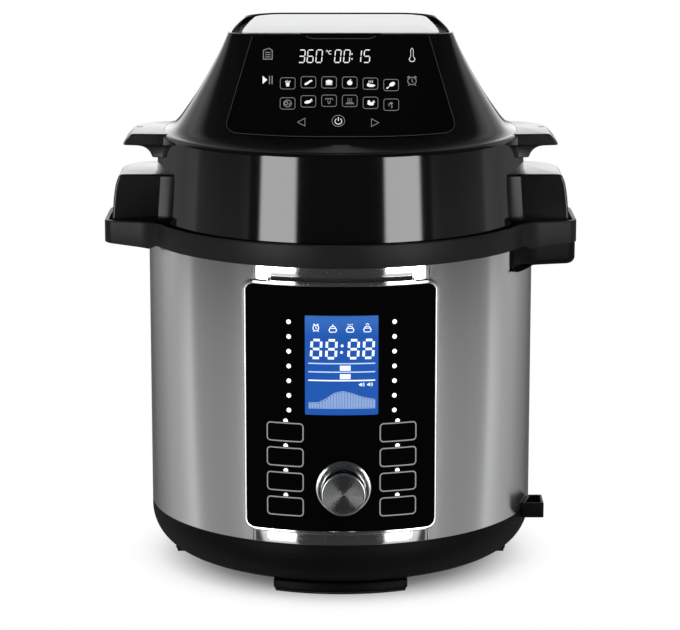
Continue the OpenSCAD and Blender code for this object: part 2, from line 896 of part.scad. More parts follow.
knob_y = body_r + knob_out;
collar_y0 = glass_in + 0.4;
collar_y1 = glass_r + 3.4;
bushing_y = collar_y0 + 0.6;
knob_foot = glass_in + 2.2;

module encoder()
    color("#8d9093")
        difference() {
            union() {
                from_front(knob_x, knob_z, board_front + seat, board_front + 6.5)
                    square([12, 12], center = true);
                from_front(knob_x, knob_z, board_front + 6, bushing_y)
                    circle(r = 4.8);
            }
            from_front(knob_x, knob_z, board_front + 1.5, bushing_y + past)
                circle(r = knob_shaft_r + run_fit);
        }

module encoder_shaft()
    color("#b9bbbd")
        from_front(knob_x, knob_z, board_front + 1.8, knob_y - 6)
            circle(r = knob_shaft_r);

// Polished collar: a flat ring with a rounded outer edge.
module knob_collar()
    color(chrome)
        translate([knob_x, 0, knob_z])
            rotate([90, 0, 0])
                difference() {
                    union() {
                        translate([0, 0, collar_y0])
                            cylinder(r = collar_r, h = collar_y1 - collar_y0 - 1.6);
                        translate([0, 0, collar_y0])
                            cylinder(r = collar_r - 1.6, h = collar_y1 - collar_y0);
                        translate([0, 0, collar_y1 - 1.6])
                            rotate_extrude()
                                translate([collar_r - 1.6, 0])
                                    circle(r = 1.6);
                    }
                    translate([0, 0, glass_in + 1.4])
                        cylinder(r = knob_r0 + 0.7, h = 20);
                    translate([0, 0, collar_y0 - past])
                        cylinder(r = 8, h = 20);
                }

module knob()
    color("#c9cbcd")
        translate([knob_x, 0, knob_z])
            rotate([90, 0, 0])
                difference() {
                    union() {
                        translate([0, 0, knob_foot])
                            cylinder(r1 = knob_r0, r2 = knob_r1, h = knob_y - 0.8 - knob_foot);
                        translate([0, 0, knob_y - 0.8])
                            cylinder(r1 = knob_r1, r2 = knob_r1 - 0.8, h = 0.8);
                    }
                    translate([0, 0, knob_foot - past])
                        cylinder(r = knob_shaft_r + run_fit, h = knob_y - 5.9 - knob_foot + past);
                }

// A key cap on a stem that reaches down to its switch.
module key(s, i)
    color(gloss) {
        intersection() {
            from_radius(key_centre(s), key_z + i * key_pitch, key_back, key_face + 2)
                rounded_rect(key_w, key_h, 2.4);
            cylinder(r = key_face, h = panel_z1);
        }
        from_radius(key_centre(s), key_z + i * key_pitch, stem_end(s), key_back + 0.6)
            circle(r = stem_r);
    }

module key_left_1() key(-1, 3);
module key_left_2() key(-1, 2);
module key_left_3() key(-1, 1);
module key_left_4() key(-1, 0);
module key_right_1() key(1, 3);
module key_right_2() key(1, 2);
module key_right_3() key(1, 1);
module key_right_4() key(1, 0);

// ---------- holders on the outside ----------

holder_wall = 1.8;
holder_x = body_r + holder_out;
holder_z0 = body_z0 - holder_low;

module spoon_holder()
    color(black)
        difference() {
            translate([body_r - 18, -holder_front, holder_z0])
                cube([holder_x - body_r + 18, holder_l, holder_h]);
            difference() {
                translate([body_r - 18, -holder_front + holder_wall, holder_z0 + holder_wall])
                    cube([holder_x - body_r + 18 - holder_wall, holder_l - 2 * holder_wall, holder_h]);
                translate([0, 0, holder_z0])
                    cylinder(r = body_r + 0.2 + holder_wall, h = 2 * holder_h);
            }
            translate([0, 0, holder_z0 - past])
                cylinder(r = body_r + 0.2, h = holder_h + 2 * past);
        }

cup_y = body_r + cup_out;
rail_z = body_z1 - 5;
cup_z1 = rail_z - 2.6;
cup_y0 = body_r + 2.6;
lug = 2.6;
rail_w = 8;
rail_back = 14;
rail_head = 4;
groove_z = rail_z - 4.3;

// The cup hangs by two lugs in two rails that point straight back.
module cup_rails()
    color(black)
        difference() {
            union() {
                translate([-cup_w / 2 - rail_w, body_r - rail_back, rail_z - rail_back])
                    cube([cup_w + 2 * rail_w, rail_back + 2, rail_back + rail_head]);
                both_sides()
                    translate([cup_w / 2 + 0.5, body_r - rail_back, rail_z - rail_w])
                        cube([rail_w - 0.5, cup_y - 5 - body_r + rail_back, rail_w + rail_head]);
            }
            translate([0, 0, rail_z - 20])
                cylinder(r = body_r + 0.2, h = 30);
            both_sides()
                translate([cup_w / 2 - 1, cup_y0 - slip, groove_z])
                    cube([lug + 1.9, cup_y, lug + 2 * slip]);
        }

module condensate_cup()
    color("#2a2c2f")
        difference() {
            union() {
                translate([-cup_w / 2, cup_y0, cup_z1 - cup_h])
                    cube([cup_w, cup_y - cup_y0, cup_h]);
                both_sides()
                    translate([cup_w / 2 - 1, cup_y0, groove_z + slip])
                        cube([lug + 1, cup_y - cup_y0 - 6, lug]);
            }
            translate([-cup_w / 2 + cup_wall, cup_y0 + cup_wall, cup_z1 - cup_h + cup_wall])
                cube([cup_w - 2 * cup_wall, cup_y - cup_y0 - 2 * cup_wall, cup_h]);
        }

// ---------- cooking pot ----------

module inner_pot()
    color("#c2c4c6")
        difference() {
            union() {
                translate([0, 0, pot_z0])
                    cylinder(r = pot_out, h = pot_flange_z - pot_z0);
                translate([0, 0, pot_flange_z])
                    cylinder(r = pot_flange_r, h = flange_t);
            }
            translate([0, 0, pot_z0 + pot_base])
                cylinder(r = pot_r, h = pot_flange_z - pot_z0 + past);
        }

// ---------- lid ----------

// Profile of the skirt: a straight wall, a rounded shoulder and a top flange.
module skirt_profile(grow) {
    translate([0, lid_z0])
        square([skirt_r + grow, shoulder_z - shoulder_round - lid_z0]);
    translate([0, shoulder_z - shoulder_round])
        square([skirt_r - shoulder_round, shoulder_round + grow]);
    translate([skirt_r - shoulder_round, shoulder_z - shoulder_round])
        circle(r = shoulder_round + grow);
}

handle_x = skirt_r + handle_reach;
handle_z0 = shoulder_z - handle_root;
handle_step = handle_root - handle_t;
handle_hole_x = handle_x - 9.7;
step_round = 6.5;
block_z1 = handle_z0 - finger_gap;
block_x0 = wing_x - ring_wall - block_gap;
block_x1 = block_x0 - block_lean;

notch_w = 3.4;
notch_h = 10;
notch_angle = 18.5;
wire_r = 5;

module lid_skirt()
    color(gloss)
        difference() {
            rotate_extrude()
                difference() {
                    intersection() {
                        skirt_profile(0);
                        square([skirt_r + past, top_z]);
                    }
                    translate([-past, lid_z0 - past])
                        square([skirt_in + past, ledge_lid_z + past - lid_z0]);
                    translate([-past, ledge_lid_z - past])
                        square([ledge_lid_r + past, top_z]);
                    translate([-past, ledge_lid_z + ledge_lid_t])
                        square([skirt_in + past, shoulder_z - 2.4 - ledge_lid_z - ledge_lid_t]);
                }
            // Notches in the lower edge, one each side of both blocks
            for (a = [-notch_angle, notch_angle, 180 - notch_angle, 180 + notch_angle])
                rotate([0, 0, a])
                    translate([skirt_in - 2, -notch_w / 2, lid_z0 - past])
                        cube([skirt_wall + 4, notch_w, notch_h + past]);
            // Wire passage into the right side block
            translate([skirt_in - 2, 0, block_z1 - 14])
                rotate([0, 90, 0])
                    cylinder(r = wire_r, h = skirt_wall + 4);
        }

// The dome runs from a circle at the shoulder to a rounded rectangle at the
// top. Its side falls away steeply at first and then flares out.
flare_height = 0.076;
flare_front = 5.5;
flare_side = 8.5;

function fall(t, foot, head, power, flare) =
    head + (foot - head - flare) * pow(max(0, 1 - t), power) + flare * exp(-t / flare_height);
function half_x(t) = fall(t, dome_r, top_x, 1.40, flare_side);
function half_front(t) = fall(t, dome_r, top_front, 1.16, flare_front);
function half_rear(t) = fall(t, dome_r, top_rear, 1.40, flare_side);

// Behind its front third the dome gets narrower towards the rear, most at the top.
function taper(p, t) =
    [p[0] * (1 - top_taper * t * pow(max(0, p[1] + 50) / 125, 1.5)), p[1]];
function corner_front(t) = top_corner_front
    + (min(half_x(t), half_front(t)) - top_corner_front) * pow(1 - t, 1.1);
function corner_rear(t) = top_corner_rear
    + (min(half_x(t), half_rear(t)) - top_corner_rear) * pow(1 - t, 1.1);

arc_steps = 14;

// One corner of the outline: the points of an arc from one side to the next.
function corner_points(cx, cy, r, start, steps) =
    [for (i = [0 : steps]) let (a = start + i * 90 / steps) [cx + r * cos(a), cy + r * sin(a)]];

// Points along a side of the outline, between its two corners.
function side_points(x, y0, y1) = [for (i = [1 : 5]) [x, y0 + (y1 - y0) * i / 6]];

// Outline of the dome at a share t of its height, drawn further in by inset.
function dome_outline(t, inset, steps) =
    let (x = half_x(t) - inset, f = half_front(t) - inset, b = half_rear(t) - inset,
        rf = max(2, min(corner_front(t) - inset, x, f)), rb = max(2, min(corner_rear(t) - inset, x, b)))
    [for (p = concat(corner_points(x - rb, b - rb, rb, 0, steps),
        [[0, b]],
        corner_points(-x + rb, b - rb, rb, 90, steps),
        side_points(-x, b - rb, -f + rf),
        corner_points(-x + rf, -f + rf, rf, 180, steps),
        corner_points(x - rf, -f + rf, rf, 270, steps),
        side_points(x, -f + rf, b - rb))) taper(p, t)];

// Closed skin over a list of rings, the last of which joins the first.
module ring_skin(rings) {
    n = len(rings[0]);
    m = len(rings);
    points = [for (ring = rings) each ring];
    faces = [for (j = [0 : m - 1], i = [0 : n - 1])
        let (a = j * n + i, b = j * n + (i + 1) % n, c = ((j + 1) % m) * n + (i + 1) % n,
            d = ((j + 1) % m) * n + i)
        each [[a, c, b], [a, d, c]]];
    polyhedron(points, faces, convexity = 8);
}

function lift(outline, z) = [for (p = outline) [p[0], p[1], z]];

// Shares of the height at which the dome gets a ring, closer near the foot
dome_shares = [for (i = [0 : 14]) pow(i / 14, 1.5)];
inner_shares = [for (i = [7 : -1 : 0]) pow(i / 7, 1.3)];

module lid_dome()
    color(gloss)
        ring_skin(concat(
            [for (t = dome_shares) lift(dome_outline(t, 0, arc_steps), dome_z0 + t * dome_h)],
            [for (t = inner_shares) lift(dome_outline(t, dome_wall, arc_steps), dome_z0 + t * dome_h)]));

// ---------- touch panel on the dome ----------

touch_t0 = 0.13;
touch_t1 = 0.985;
touch_cols = 24;
touch_rows = 12;

// Y of the dome's front at a given X, for a share t of the height.
function front_y(t, x, inset) =
    let (f = half_front(t) - inset, w = half_x(t) - inset, r = min(corner_front(t) - inset, w, f),
        dx = abs(x) - (w - r))
    dx <= 0 ? -f : -(f - r) - sqrt(max(0, r * r - dx * dx));

function touch_half(t) = touch_x0 + (touch_x1 - touch_x0) * (t - touch_t0) / (touch_t1 - touch_t0);

function touch_ring(t, inset, out) =
    [for (i = [0 : touch_cols]) let (x = touch_half(t) * (2 * i / touch_cols - 1))
        [x, front_y(t, x, inset) - out, dome_z0 + t * dome_h]];

// Gap that keeps the panel's flat facets clear of the dome's
touch_seat = 0.3;

// The panel is a grid of points outside and a grid inside, joined at the rim.
module lid_panel()
    color(gloss) {
        cols = touch_cols + 1;
        rows = touch_rows + 1;
        grid = cols * rows;
        shares = [for (j = [0 : touch_rows]) touch_t0 + (touch_t1 - touch_t0) * j / touch_rows];
        points = concat([for (t = shares) each touch_ring(t, -touch_seat, touch_t)],
            [for (t = shares) each touch_ring(t, -touch_seat, 0)]);
        outside = [for (j = [0 : touch_rows - 1], i = [0 : touch_cols - 1])
            let (a = j * cols + i) each [[a, a + cols + 1, a + 1], [a, a + cols, a + cols + 1]]];
        inside = [for (f = outside) [f[2] + grid, f[1] + grid, f[0] + grid]];
        rim = concat([for (i = [0 : touch_cols - 1]) i],
            [for (j = [0 : touch_rows - 1]) j * cols + touch_cols],
            [for (i = [touch_cols : -1 : 1]) touch_rows * cols + i],
            [for (j = [touch_rows : -1 : 1]) j * cols]);
        sides = [for (k = [0 : len(rim) - 1]) let (a = rim[k], b = rim[(k + 1) % len(rim)])
            each [[a, b, b + grid], [a, b + grid, a + grid]]];
        polyhedron(points, concat(outside, inside, sides), convexity = 6);
    }

// ---------- top of the lid ----------

vent_z1 = top_z - 5;
vent_t = 3;
vent_share = (vent_z1 - dome_z0) / dome_h;
plate_t = 1.2;
plate_z0 = top_z - 0.4 - plate_t;

module vent_frame()
    color(black)
        difference() {
            union() {
                translate([0, 0, vent_z1 - vent_t])
                    linear_extrude(vent_t)
                        polygon(dome_outline(vent_share, dome_wall + 0.3, arc_steps));
                for (x = [-1, 1], y = [-1, 1])
                    translate([x * (top_x - 24), y * (top_front - 24), vent_z1 - past])
                        cylinder(r = 4, h = plate_z0 - seat - vent_z1 + past);
            }
            for (x = [-1, 1], i = [-4 : 4])
                translate([x * (top_x - 8), i * 11, vent_z1 - vent_t - past])
                    linear_extrude(vent_t + 2 * past)
                        square([6, 5], center = true);
            for (i = [-3 : 3], j = [-3 : 3])
                translate([i * 15, j * 13, vent_z1 - vent_t - past])
                    cylinder(r = 3, h = vent_t + 2 * past);
        }

module top_plate()
    color("#cfd1d3")
        translate([0, 0, plate_z0])
            linear_extrude(plate_t)
                polygon(dome_outline(1, vent_gap, arc_steps));

// ---------- handles and side blocks on the lid ----------

module lid_handles()
    color(gloss)
        both_sides()
            difference() {
                intersection() {
                    across(4 * handle_y)
                        difference() {
                            translate([skirt_r - 8, handle_z0])
                                square([handle_x - skirt_r + 8, handle_root]);
                            translate([handle_x - 12.6, handle_z0 - past])
                                square([14, handle_step + past]);
                            translate([handle_x - 12.6 - step_round, handle_z0 - past])
                                square([step_round + past, handle_step - step_round + past]);
                            translate([handle_x - 12.6, handle_z0 + handle_step - step_round])
                                circle(r = step_round);
                            // The end leans in towards the top
                            polygon([[handle_x, shoulder_z - handle_t], [handle_x + past, shoulder_z - handle_t],
                                [handle_x + past, shoulder_z + past], [handle_x - 3.4, shoulder_z + past]]);
                        }
                    translate([0, 0, handle_z0])
                        linear_extrude(handle_root)
                            wing_outline(skirt_r - 1, handle_x, handle_y, 5, 3.5, 0, 0, 16);
                }
                rotate_extrude()
                    intersection() {
                        skirt_profile(seat);
                        translate([0, lid_z0])
                            square([skirt_r + 5, top_z]);
                    }
                translate([handle_hole_x, 3, shoulder_z - 2])
                    cylinder(r = 2.4, h = 3);
            }

block_fillet = 9;
block_round = 4;
block_corner = 3.5;
block_rear = 14;

// Side view of a block: a leaning end and a rounded upper corner.
module block_profile(inset)
    intersection() {
        polygon([[0, lid_z0 + inset], [block_x0 - inset, lid_z0 + inset],
            [block_x1 - inset, block_z1 - inset], [0, block_z1 - inset]]);
        union() {
            square([block_x0 + 10, block_z1 - block_round]);
            square([block_x1 - block_round, block_z1 - inset]);
            translate([block_x1 - block_round, block_z1 - block_round])
                circle(r = block_round - inset);
        }
    }

module block_solid(inset)
    intersection() {
        across(4 * block_y)
            block_profile(inset);
        translate([0, 0, lid_z0])
            linear_extrude(block_z1 - lid_z0)
                wing_outline(skirt_r, block_x0, block_y, block_fillet, block_corner, inset, 0, block_rear);
    }

module side_blocks()
    color(gloss)
        difference() {
            both_sides()
                difference() {
                    block_solid(0);
                    block_solid(block_wall);
                    translate([0, 0, lid_z0 - past])
                        cylinder(r = skirt_r + seat, h = block_z1);
                }
            for (y = [-pin_y, 0, pin_y])
                translate([pin_x, y, lid_z0 - past])
                    cylinder(r = pin_r + 0.2, h = block_wall + 2 * past);
        }

// Plug in the right block: an insulator on the block's floor and three pins.
module plug_pins()
    color("#c7b06a") {
        translate([pin_x - 6, -socket_w / 2, lid_z0 + block_wall + seat])
            cube([12, socket_w, 12]);
        for (y = [-pin_y, 0, pin_y])
            translate([pin_x, y, housing_z0 + 8])
                cylinder(r = pin_r, h = lid_z0 + block_wall + 3 - housing_z0 - 8);
    }

// ---------- cooking chamber in the lid ----------

leg_angle = 9;
leg_top = chamber_z1 + 5;

module lid_chamber()
    color(tin)
        difference() {
            union() {
                translate([0, 0, chamber_z0])
                    cylinder(r = chamber_r + sheet, h = chamber_h);
                translate([0, 0, chamber_z0])
                    cylinder(r = ledge_lid_r + 5, h = sheet);
            }
            translate([0, 0, chamber_z0 - past])
                cylinder(r = chamber_r, h = chamber_h - sheet + past);
            translate([0, 0, chamber_z0])
                cylinder(r = shaft_r + 1, h = chamber_h + past);
            for (a = [-leg_angle, leg_angle])
                rotate([0, 0, 90 + a])
                    translate([turn_r1, 0, chamber_z0])
                        cylinder(r = tube_r + 0.3, h = chamber_h + past);
        }

module heat_shield()
    color("#8f9194")
        difference() {
            translate([0, 0, shield_z0])
                cylinder(r = shield_r, h = shield_z1 - shield_z0);
            translate([0, 0, shield_z0 - past])
                cylinder(r = shield_r - sheet, h = shield_z1 - shield_z0 - sheet + past);
            translate([0, 0, shield_z0])
                cylinder(r = shaft_r + 2, h = shield_z1);
        }

// Two turns of tube, a bridge between them and two legs up through the roof.
module heating_element()
    color("#55585c") {
        for (r = [turn_r0, turn_r1])
            translate([0, 0, turn_z])
                rotate_extrude()
                    translate([r, 0])
                        circle(r = tube_r);
        translate([0, -turn_r0, turn_z])
            rotate([90, 0, 0])
                cylinder(r = tube_r - 0.4, h = turn_r1 - turn_r0);
        for (a = [-leg_angle, leg_angle])
            rotate([0, 0, 90 + a])
                translate([turn_r1, 0, turn_z])
                    cylinder(r = tube_r, h = leg_top - turn_z);
    }

wire_w = 2.4;
grille_turns = 5;
rim_turn = chamber_r - 0.4;

// Flat-wire rings with three bars across them.
module guard_grille()
    color(steel) {
        for (i = [1 : grille_turns])
            tube(rim_turn * i / grille_turns - wire_w, rim_turn * i / grille_turns, grille_z,
                grille_z + wire_w);
        for (a = [0 : 60 : 120])
            rotate([0, 0, a])
                translate([-wire_w / 2, -rim_turn + wire_w / 2, grille_z + wire_w / 2])
                    cube([wire_w, 2 * rim_turn - wire_w, wire_w]);
    }

// Sheet bracket on the heat shield: a plate for the motor and two arms that
// hold the touch panel's board at a slant behind the dome's front.
slant = 57;
slant_gap = 8;
slant_y = half_front(0.5) - slant_gap;
slant_z = (shoulder_z + top_z) / 2 - 1;
lid_board_w = 100;
lid_board_h = 46;
arm_x = lid_board_w / 2 - 7;

module slanted()
    translate([0, -slant_y, slant_z])
        rotate([slant, 0, 0])
            children();

module lid_bracket()
    color(tin)
        difference() {
            union() {
                translate([-arm_x, -motor_r - 22, motor_z0 - seat - bracket_t])
                    cube([2 * arm_x, 2 * motor_r + 22 + 6, bracket_t]);
                for (x = [-arm_x, arm_x - bracket_t])
                    translate([x, 0, 0])
                        rotate([90, 0, 90])
                            linear_extrude(bracket_t)
                                polygon([[motor_r, motor_z0 - seat - bracket_t],
                                    [-slant_y - 8, motor_z0 - seat - bracket_t],
                                    [-slant_y - 14, slant_z - 19], [-slant_y + 10, slant_z + 20],
                                    [-slant_y + 26, slant_z + 20], [motor_r, motor_z0 + 8]]);
            }
            translate([0, 0, motor_z0 - bracket_t - past])
                cylinder(r = shaft_r + 2, h = bracket_t + 2 * past);
            slanted()
                translate([-lid_board_w, -lid_board_w, -board_t / 2 - seat])
                    cube([2 * lid_board_w, 2 * lid_board_w, lid_board_w]);
        }

module lid_board()
    color(pcb)
        slanted() {
            translate([-lid_board_w / 2, -lid_board_h / 2, -board_t / 2])
                cube([lid_board_w, lid_board_h, board_t]);
            for (x = [-26, -4, 14])
                translate([x, -8, -board_t / 2 - 6])
                    cube([14, 12, 6.2]);
        }

module fan_motor()
    color("#4a4d52")
        difference() {
            union() {
                translate([0, 0, motor_z0])
                    cylinder(r = motor_r, h = motor_h - 3);
                translate([0, 0, motor_z0])
                    cylinder(r = shaft_r + 6, h = motor_h);
            }
            translate([0, 0, motor_z0 - past])
                cylinder(r = shaft_r + run_fit, h = motor_h + 2 * past);
        }

hub_r = shaft_r + 5;
cool_z0 = motor_z1 + 1;
cool_h = 10;
cool_r = fan_r * 0.7;
shaft_z0 = fan_z1 - fan_h - 3;
shaft_z1 = cool_z0 + cool_h + 1;

module rotor_shaft()
    color(steel)
        translate([0, 0, shaft_z0])
            cylinder(r = shaft_r, h = shaft_z1 - shaft_z0);

// A fan: hub and disc with straight blades, the disc above the blades.
module fan(r, z0, h)
    difference() {
        union() {
            translate([0, 0, z0])
                cylinder(r = hub_r, h = h);
            translate([0, 0, z0 + h - 1.2])
                cylinder(r = r, h = 1.2);
            for (i = [0 : blade_count - 1])
                rotate([0, 0, i * 360 / blade_count])
                    translate([hub_r - 1, -0.6, z0])
                        cube([r - hub_r - 1, 1.2, h - 0.6]);
        }
        translate([0, 0, z0 - past])
            cylinder(r = shaft_r + run_fit, h = h + 2 * past);
    }

module hot_fan()
    color("#7b7e82")
        fan(fan_r, fan_z1 - fan_h, fan_h);

module cooling_fan()
    color("#d9d4c4")
        fan(cool_r, cool_z0, cool_h);

outer_shell();
front_strip();
base_shell();
bottom_cover();
cover_screws();
feet();
foot_pads();
upper_ring();
socket_housing();
lid_socket();
pot_liner();
heater_posts();
heater_plate();
sensor_guide();
sensor_spring();
sensor_button();
pressure_switch();
power_board();
power_inlet();
control_housing();
control_board();
tact_switches();
encoder();
lcd_module();
panel_glass();
panel_frame();
indicator_lenses();
knob_collar();
encoder_shaft();
knob();
key_left_1();
key_left_2();
key_left_3();
key_left_4();
key_right_1();
key_right_2();
key_right_3();
key_right_4();
spoon_holder();
cup_rails();
condensate_cup();
inner_pot();
lid_skirt();
lid_dome();
vent_frame();
top_plate();
lid_panel();
lid_board();
lid_handles();
side_blocks();
plug_pins();
lid_chamber();
heat_shield();
heating_element();
guard_grille();
lid_bracket();
fan_motor();
rotor_shaft();
hot_fan();
cooling_fan();
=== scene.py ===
"""Looks of the electric pressure cooker with its air-fry lid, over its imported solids.

Everything is in metres in the frame of the solids: +Z is up, the control panel
faces -Y, and the origin is on the table under the middle of the cooker. Sizes in
the classes are millimetres, and MM turns them into metres.
"""

import logging
import math
from dataclasses import dataclass, field
from enum import Enum
from typing import Callable, Sequence

import bmesh
import bpy
import numpy as np
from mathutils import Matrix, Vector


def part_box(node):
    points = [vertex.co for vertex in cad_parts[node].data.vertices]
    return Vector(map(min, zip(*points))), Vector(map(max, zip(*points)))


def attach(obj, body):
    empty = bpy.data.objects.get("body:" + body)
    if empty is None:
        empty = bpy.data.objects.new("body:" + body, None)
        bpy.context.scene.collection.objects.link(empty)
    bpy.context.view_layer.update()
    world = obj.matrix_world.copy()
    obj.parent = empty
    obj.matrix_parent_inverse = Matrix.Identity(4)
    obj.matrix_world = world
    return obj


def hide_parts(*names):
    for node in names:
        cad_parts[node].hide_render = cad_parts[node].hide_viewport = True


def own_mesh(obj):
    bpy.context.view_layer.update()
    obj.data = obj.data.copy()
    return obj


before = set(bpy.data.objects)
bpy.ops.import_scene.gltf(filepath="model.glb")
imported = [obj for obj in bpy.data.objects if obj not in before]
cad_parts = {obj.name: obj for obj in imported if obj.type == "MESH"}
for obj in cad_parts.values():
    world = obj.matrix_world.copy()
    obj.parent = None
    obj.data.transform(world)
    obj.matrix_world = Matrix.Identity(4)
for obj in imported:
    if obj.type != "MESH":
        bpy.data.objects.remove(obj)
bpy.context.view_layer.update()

LOG = logging.getLogger("cooker")
MM = 0.001
Array = np.ndarray
Colour = tuple[float, float, float]
Stops = tuple[tuple[float, float], ...]
Socket = bpy.types.NodeSocket


# ---------- meshes from surfaces ----------


def placed(name: str, data: bpy.types.ID) -> bpy.types.Object:
    """A new object at the origin, linked to the scene."""
    made = bpy.data.objects.new(name, data)
    bpy.context.scene.collection.objects.link(made)
    return made


def coords(*axes: Array | float) -> Array:
    """Points from their coordinates, each spread over the others' shape."""
    return np.stack(np.broadcast_arrays(*axes), axis=-1)


def finish_mesh(mesh: bpy.types.Mesh, crease: float = 38.0) -> None:
    """Merges doubled points at seams and poles, then shades smooth up to an angle.

    Args:
        mesh: Mesh to finish.
        crease: Edges that turn by more than this many degrees stay sharp.
    """
    work = bmesh.new()
    work.from_mesh(mesh)
    bmesh.ops.remove_doubles(work, verts=work.verts, dist=1e-6)
    work.to_mesh(mesh)
    work.free()
    mesh.polygons.foreach_set("use_smooth", np.ones(len(mesh.polygons), dtype=bool))
    mesh.set_sharp_from_angle(angle=math.radians(crease))
    mesh.update()


def make_piece(name: str, points: Array, faces: list, uv: Array | None = None,
               crease: float = 38.0) -> bpy.types.Object:
    """Puts points and faces into a new object at the origin.

    Args:
        name: Name of the piece.
        points: Points in millimetres, one row each.
        faces: Tuples of point numbers, counter-clockwise from outside.
        uv: Place of each point on the piece's own UV map.
        crease: Edges that turn by more than this many degrees stay sharp.

    Returns:
        The new object, linked to the scene.
    """
    mesh = bpy.data.meshes.new(name)
    mesh.from_pydata((points * MM).tolist(), [], faces)
    if uv is not None:
        corner = np.empty(len(mesh.loops), dtype=np.int32)
        mesh.loops.foreach_get("vertex_index", corner)
        layer = mesh.uv_layers.new(name="UVMap")
        layer.data.foreach_set("uv", uv[corner].astype(np.float32).ravel())
    finish_mesh(mesh, crease)
    return placed(name, mesh)


def grid_faces(rows: int, cols: int, close_rows: bool, close_cols: bool, start: int = 0) -> list:
    """Quads between neighbouring rows and columns of a grid of points.

    A quad runs along the columns first, so the outer side is columns x rows.

    Args:
        rows: Number of rows.
        cols: Number of points in a row.
        close_rows: Whether the last row joins the first.
        close_cols: Whether the last point of a row joins its first.
        start: Number of the grid's first point.

    Returns:
        Faces as lists of four point numbers.
    """
    i, j = np.meshgrid(np.arange(rows - (not close_rows)), np.arange(cols - (not close_cols)),
                       indexing="ij")
    k, m = (i + 1) % rows, (j + 1) % cols
    quads = coords(i * cols + j, i * cols + m, k * cols + m, k * cols + j)
    return (quads.reshape(-1, 4) + start).tolist()


def closed_faces(rows: int, cols: int) -> list:
    """Faces of a grid whose rows run round: its quads, the underside and the top."""
    return grid_faces(rows, cols, False, True) + [
        list(range(cols))[::-1], list(range((rows - 1) * cols, rows * cols))]


def grid_piece(name: str, grid: Array, close_rows: bool = False, close_cols: bool = False,
               uv: Array | None = None, crease: float = 38.0,
               caps: bool = False) -> bpy.types.Object:
    """A surface given as a grid of points, rows by columns by three.

    Args:
        name: Name of the piece.
        grid: Points in millimetres.
        close_rows: Whether the last row joins the first.
        close_cols: Whether the last point of a row joins its first.
        uv: Place of each point on the UV map, rows by columns by two.
        crease: Edges that turn by more than this many degrees stay sharp.
        caps: Whether the two ends of closed rows get a flat face each.

    Returns:
        The new object.
    """
    rows, cols = grid.shape[:2]
    faces = grid_faces(rows, cols, close_rows, close_cols)
    if caps:
        column = np.arange(rows) * cols
        faces += [column.tolist(), (column[::-1] + cols - 1).tolist()]
    flat_uv = None if uv is None else uv.reshape(-1, 2)
    return make_piece(name, grid.reshape(-1, 3), faces, flat_uv, crease)


def join(name: str, parts: Sequence[bpy.types.Object]) -> bpy.types.Object:
    """Joins several new objects into one mesh under a new name.

    Args:
        name: Name of the joined piece.
        parts: Objects to join; the first keeps its place and takes the rest.

    Returns:
        The joined object.
    """
    with bpy.context.temp_override(active_object=parts[0], selected_editable_objects=list(parts)):
        bpy.ops.object.join()
    parts[0].name = name
    parts[0].data.name = name
    return parts[0]


def arc(cx: float, cy: float, r: float, start: float, end: float, steps: int = 8) -> Array:
    """Points of an arc: centre plus radius times (cos, sin), angles in degrees."""
    a = np.radians(np.linspace(start, end, steps + 1))
    return coords(cx + r * np.cos(a), cy + r * np.sin(a))


def polar(r: Array | float, a: Array, z: Array | float) -> Array:
    """Points about +Z: (r cos a, r sin a, z), with the angle in radians."""
    return coords(r * np.cos(a), r * np.sin(a), z)


def rounded_corners(corners: Array, radii: Sequence[float], steps: int = 5,
                    closed: bool = True) -> Array:
    """Rounds each corner of an outline by an arc that touches both of its sides.

    The arc begins r * tan(turn / 2) before the corner and ends as far after it.

    Args:
        corners: Corner points, one row each.
        radii: Radius at each corner; 0 keeps the corner.
        steps: Number of pieces in each arc.
        closed: Whether the last corner joins the first.

    Returns:
        Points of the rounded outline.
    """
    out = []
    n = len(corners)
    for k, r in enumerate(radii):
        p = np.asarray(corners[k], dtype=float)
        if r <= 0 or (not closed and k in (0, n - 1)):
            out.append(p[None])
            continue
        a = np.asarray(corners[k - 1], dtype=float) - p
        b = np.asarray(corners[(k + 1) % n], dtype=float) - p
        a, b = a / np.linalg.norm(a), b / np.linalg.norm(b)
        half = math.acos(np.clip(a @ b, -1, 1)) / 2
        centre = p + (a + b) / np.linalg.norm(a + b) * r / math.sin(half)
        first, last = p + a * r / math.tan(half) - centre, p + b * r / math.tan(half) - centre
        t = np.linspace(0, 1, steps + 1)[:, None]
        turn = math.acos(np.clip(first @ last / (r * r), -1, 1))
        out.append(centre + (np.sin((1 - t) * turn) * first + np.sin(t * turn) * last)
                   / math.sin(turn))
    return np.concatenate(out)


def lathe(profile: Array, steps: int = 180, start: float = 0.0, sweep: float = 360.0) -> Array:
    """Turns a profile of (radius, height) about +Z: point = (r cos a, r sin a, z).

    Args:
        profile: Points of the profile; upwards along the outside points outwards.
        steps: Number of pieces in the turn.
        start: First angle in degrees, from +X.
        sweep: Angle covered in degrees; 360 leaves out the doubled last column.

    Returns:
        Grid of points, profile by angle by three.
    """
    full = sweep >= 360
    a = np.radians(start + sweep * np.arange(steps + (not full)) / steps)
    return polar(profile[:, :1], a, profile[:, 1:])


def lathe_uv(profile: Array, cols: int) -> Array:
    """UV of a lathed grid: u goes once round, v is the length along the profile in metres."""
    length = np.concatenate([[0], np.cumsum(np.linalg.norm(np.diff(profile, axis=0), axis=1))]) * MM
    u, v = np.meshgrid(np.arange(cols) / cols, length)
    return coords(u, v)


def facing_front(grid: Array, x: float, z: float) -> Array:
    """Lays a shape turned about +Z on its back: its axis runs along -Y through (x, z)."""
    return coords(grid[..., 0] + x, -grid[..., 2], grid[..., 1] + z)


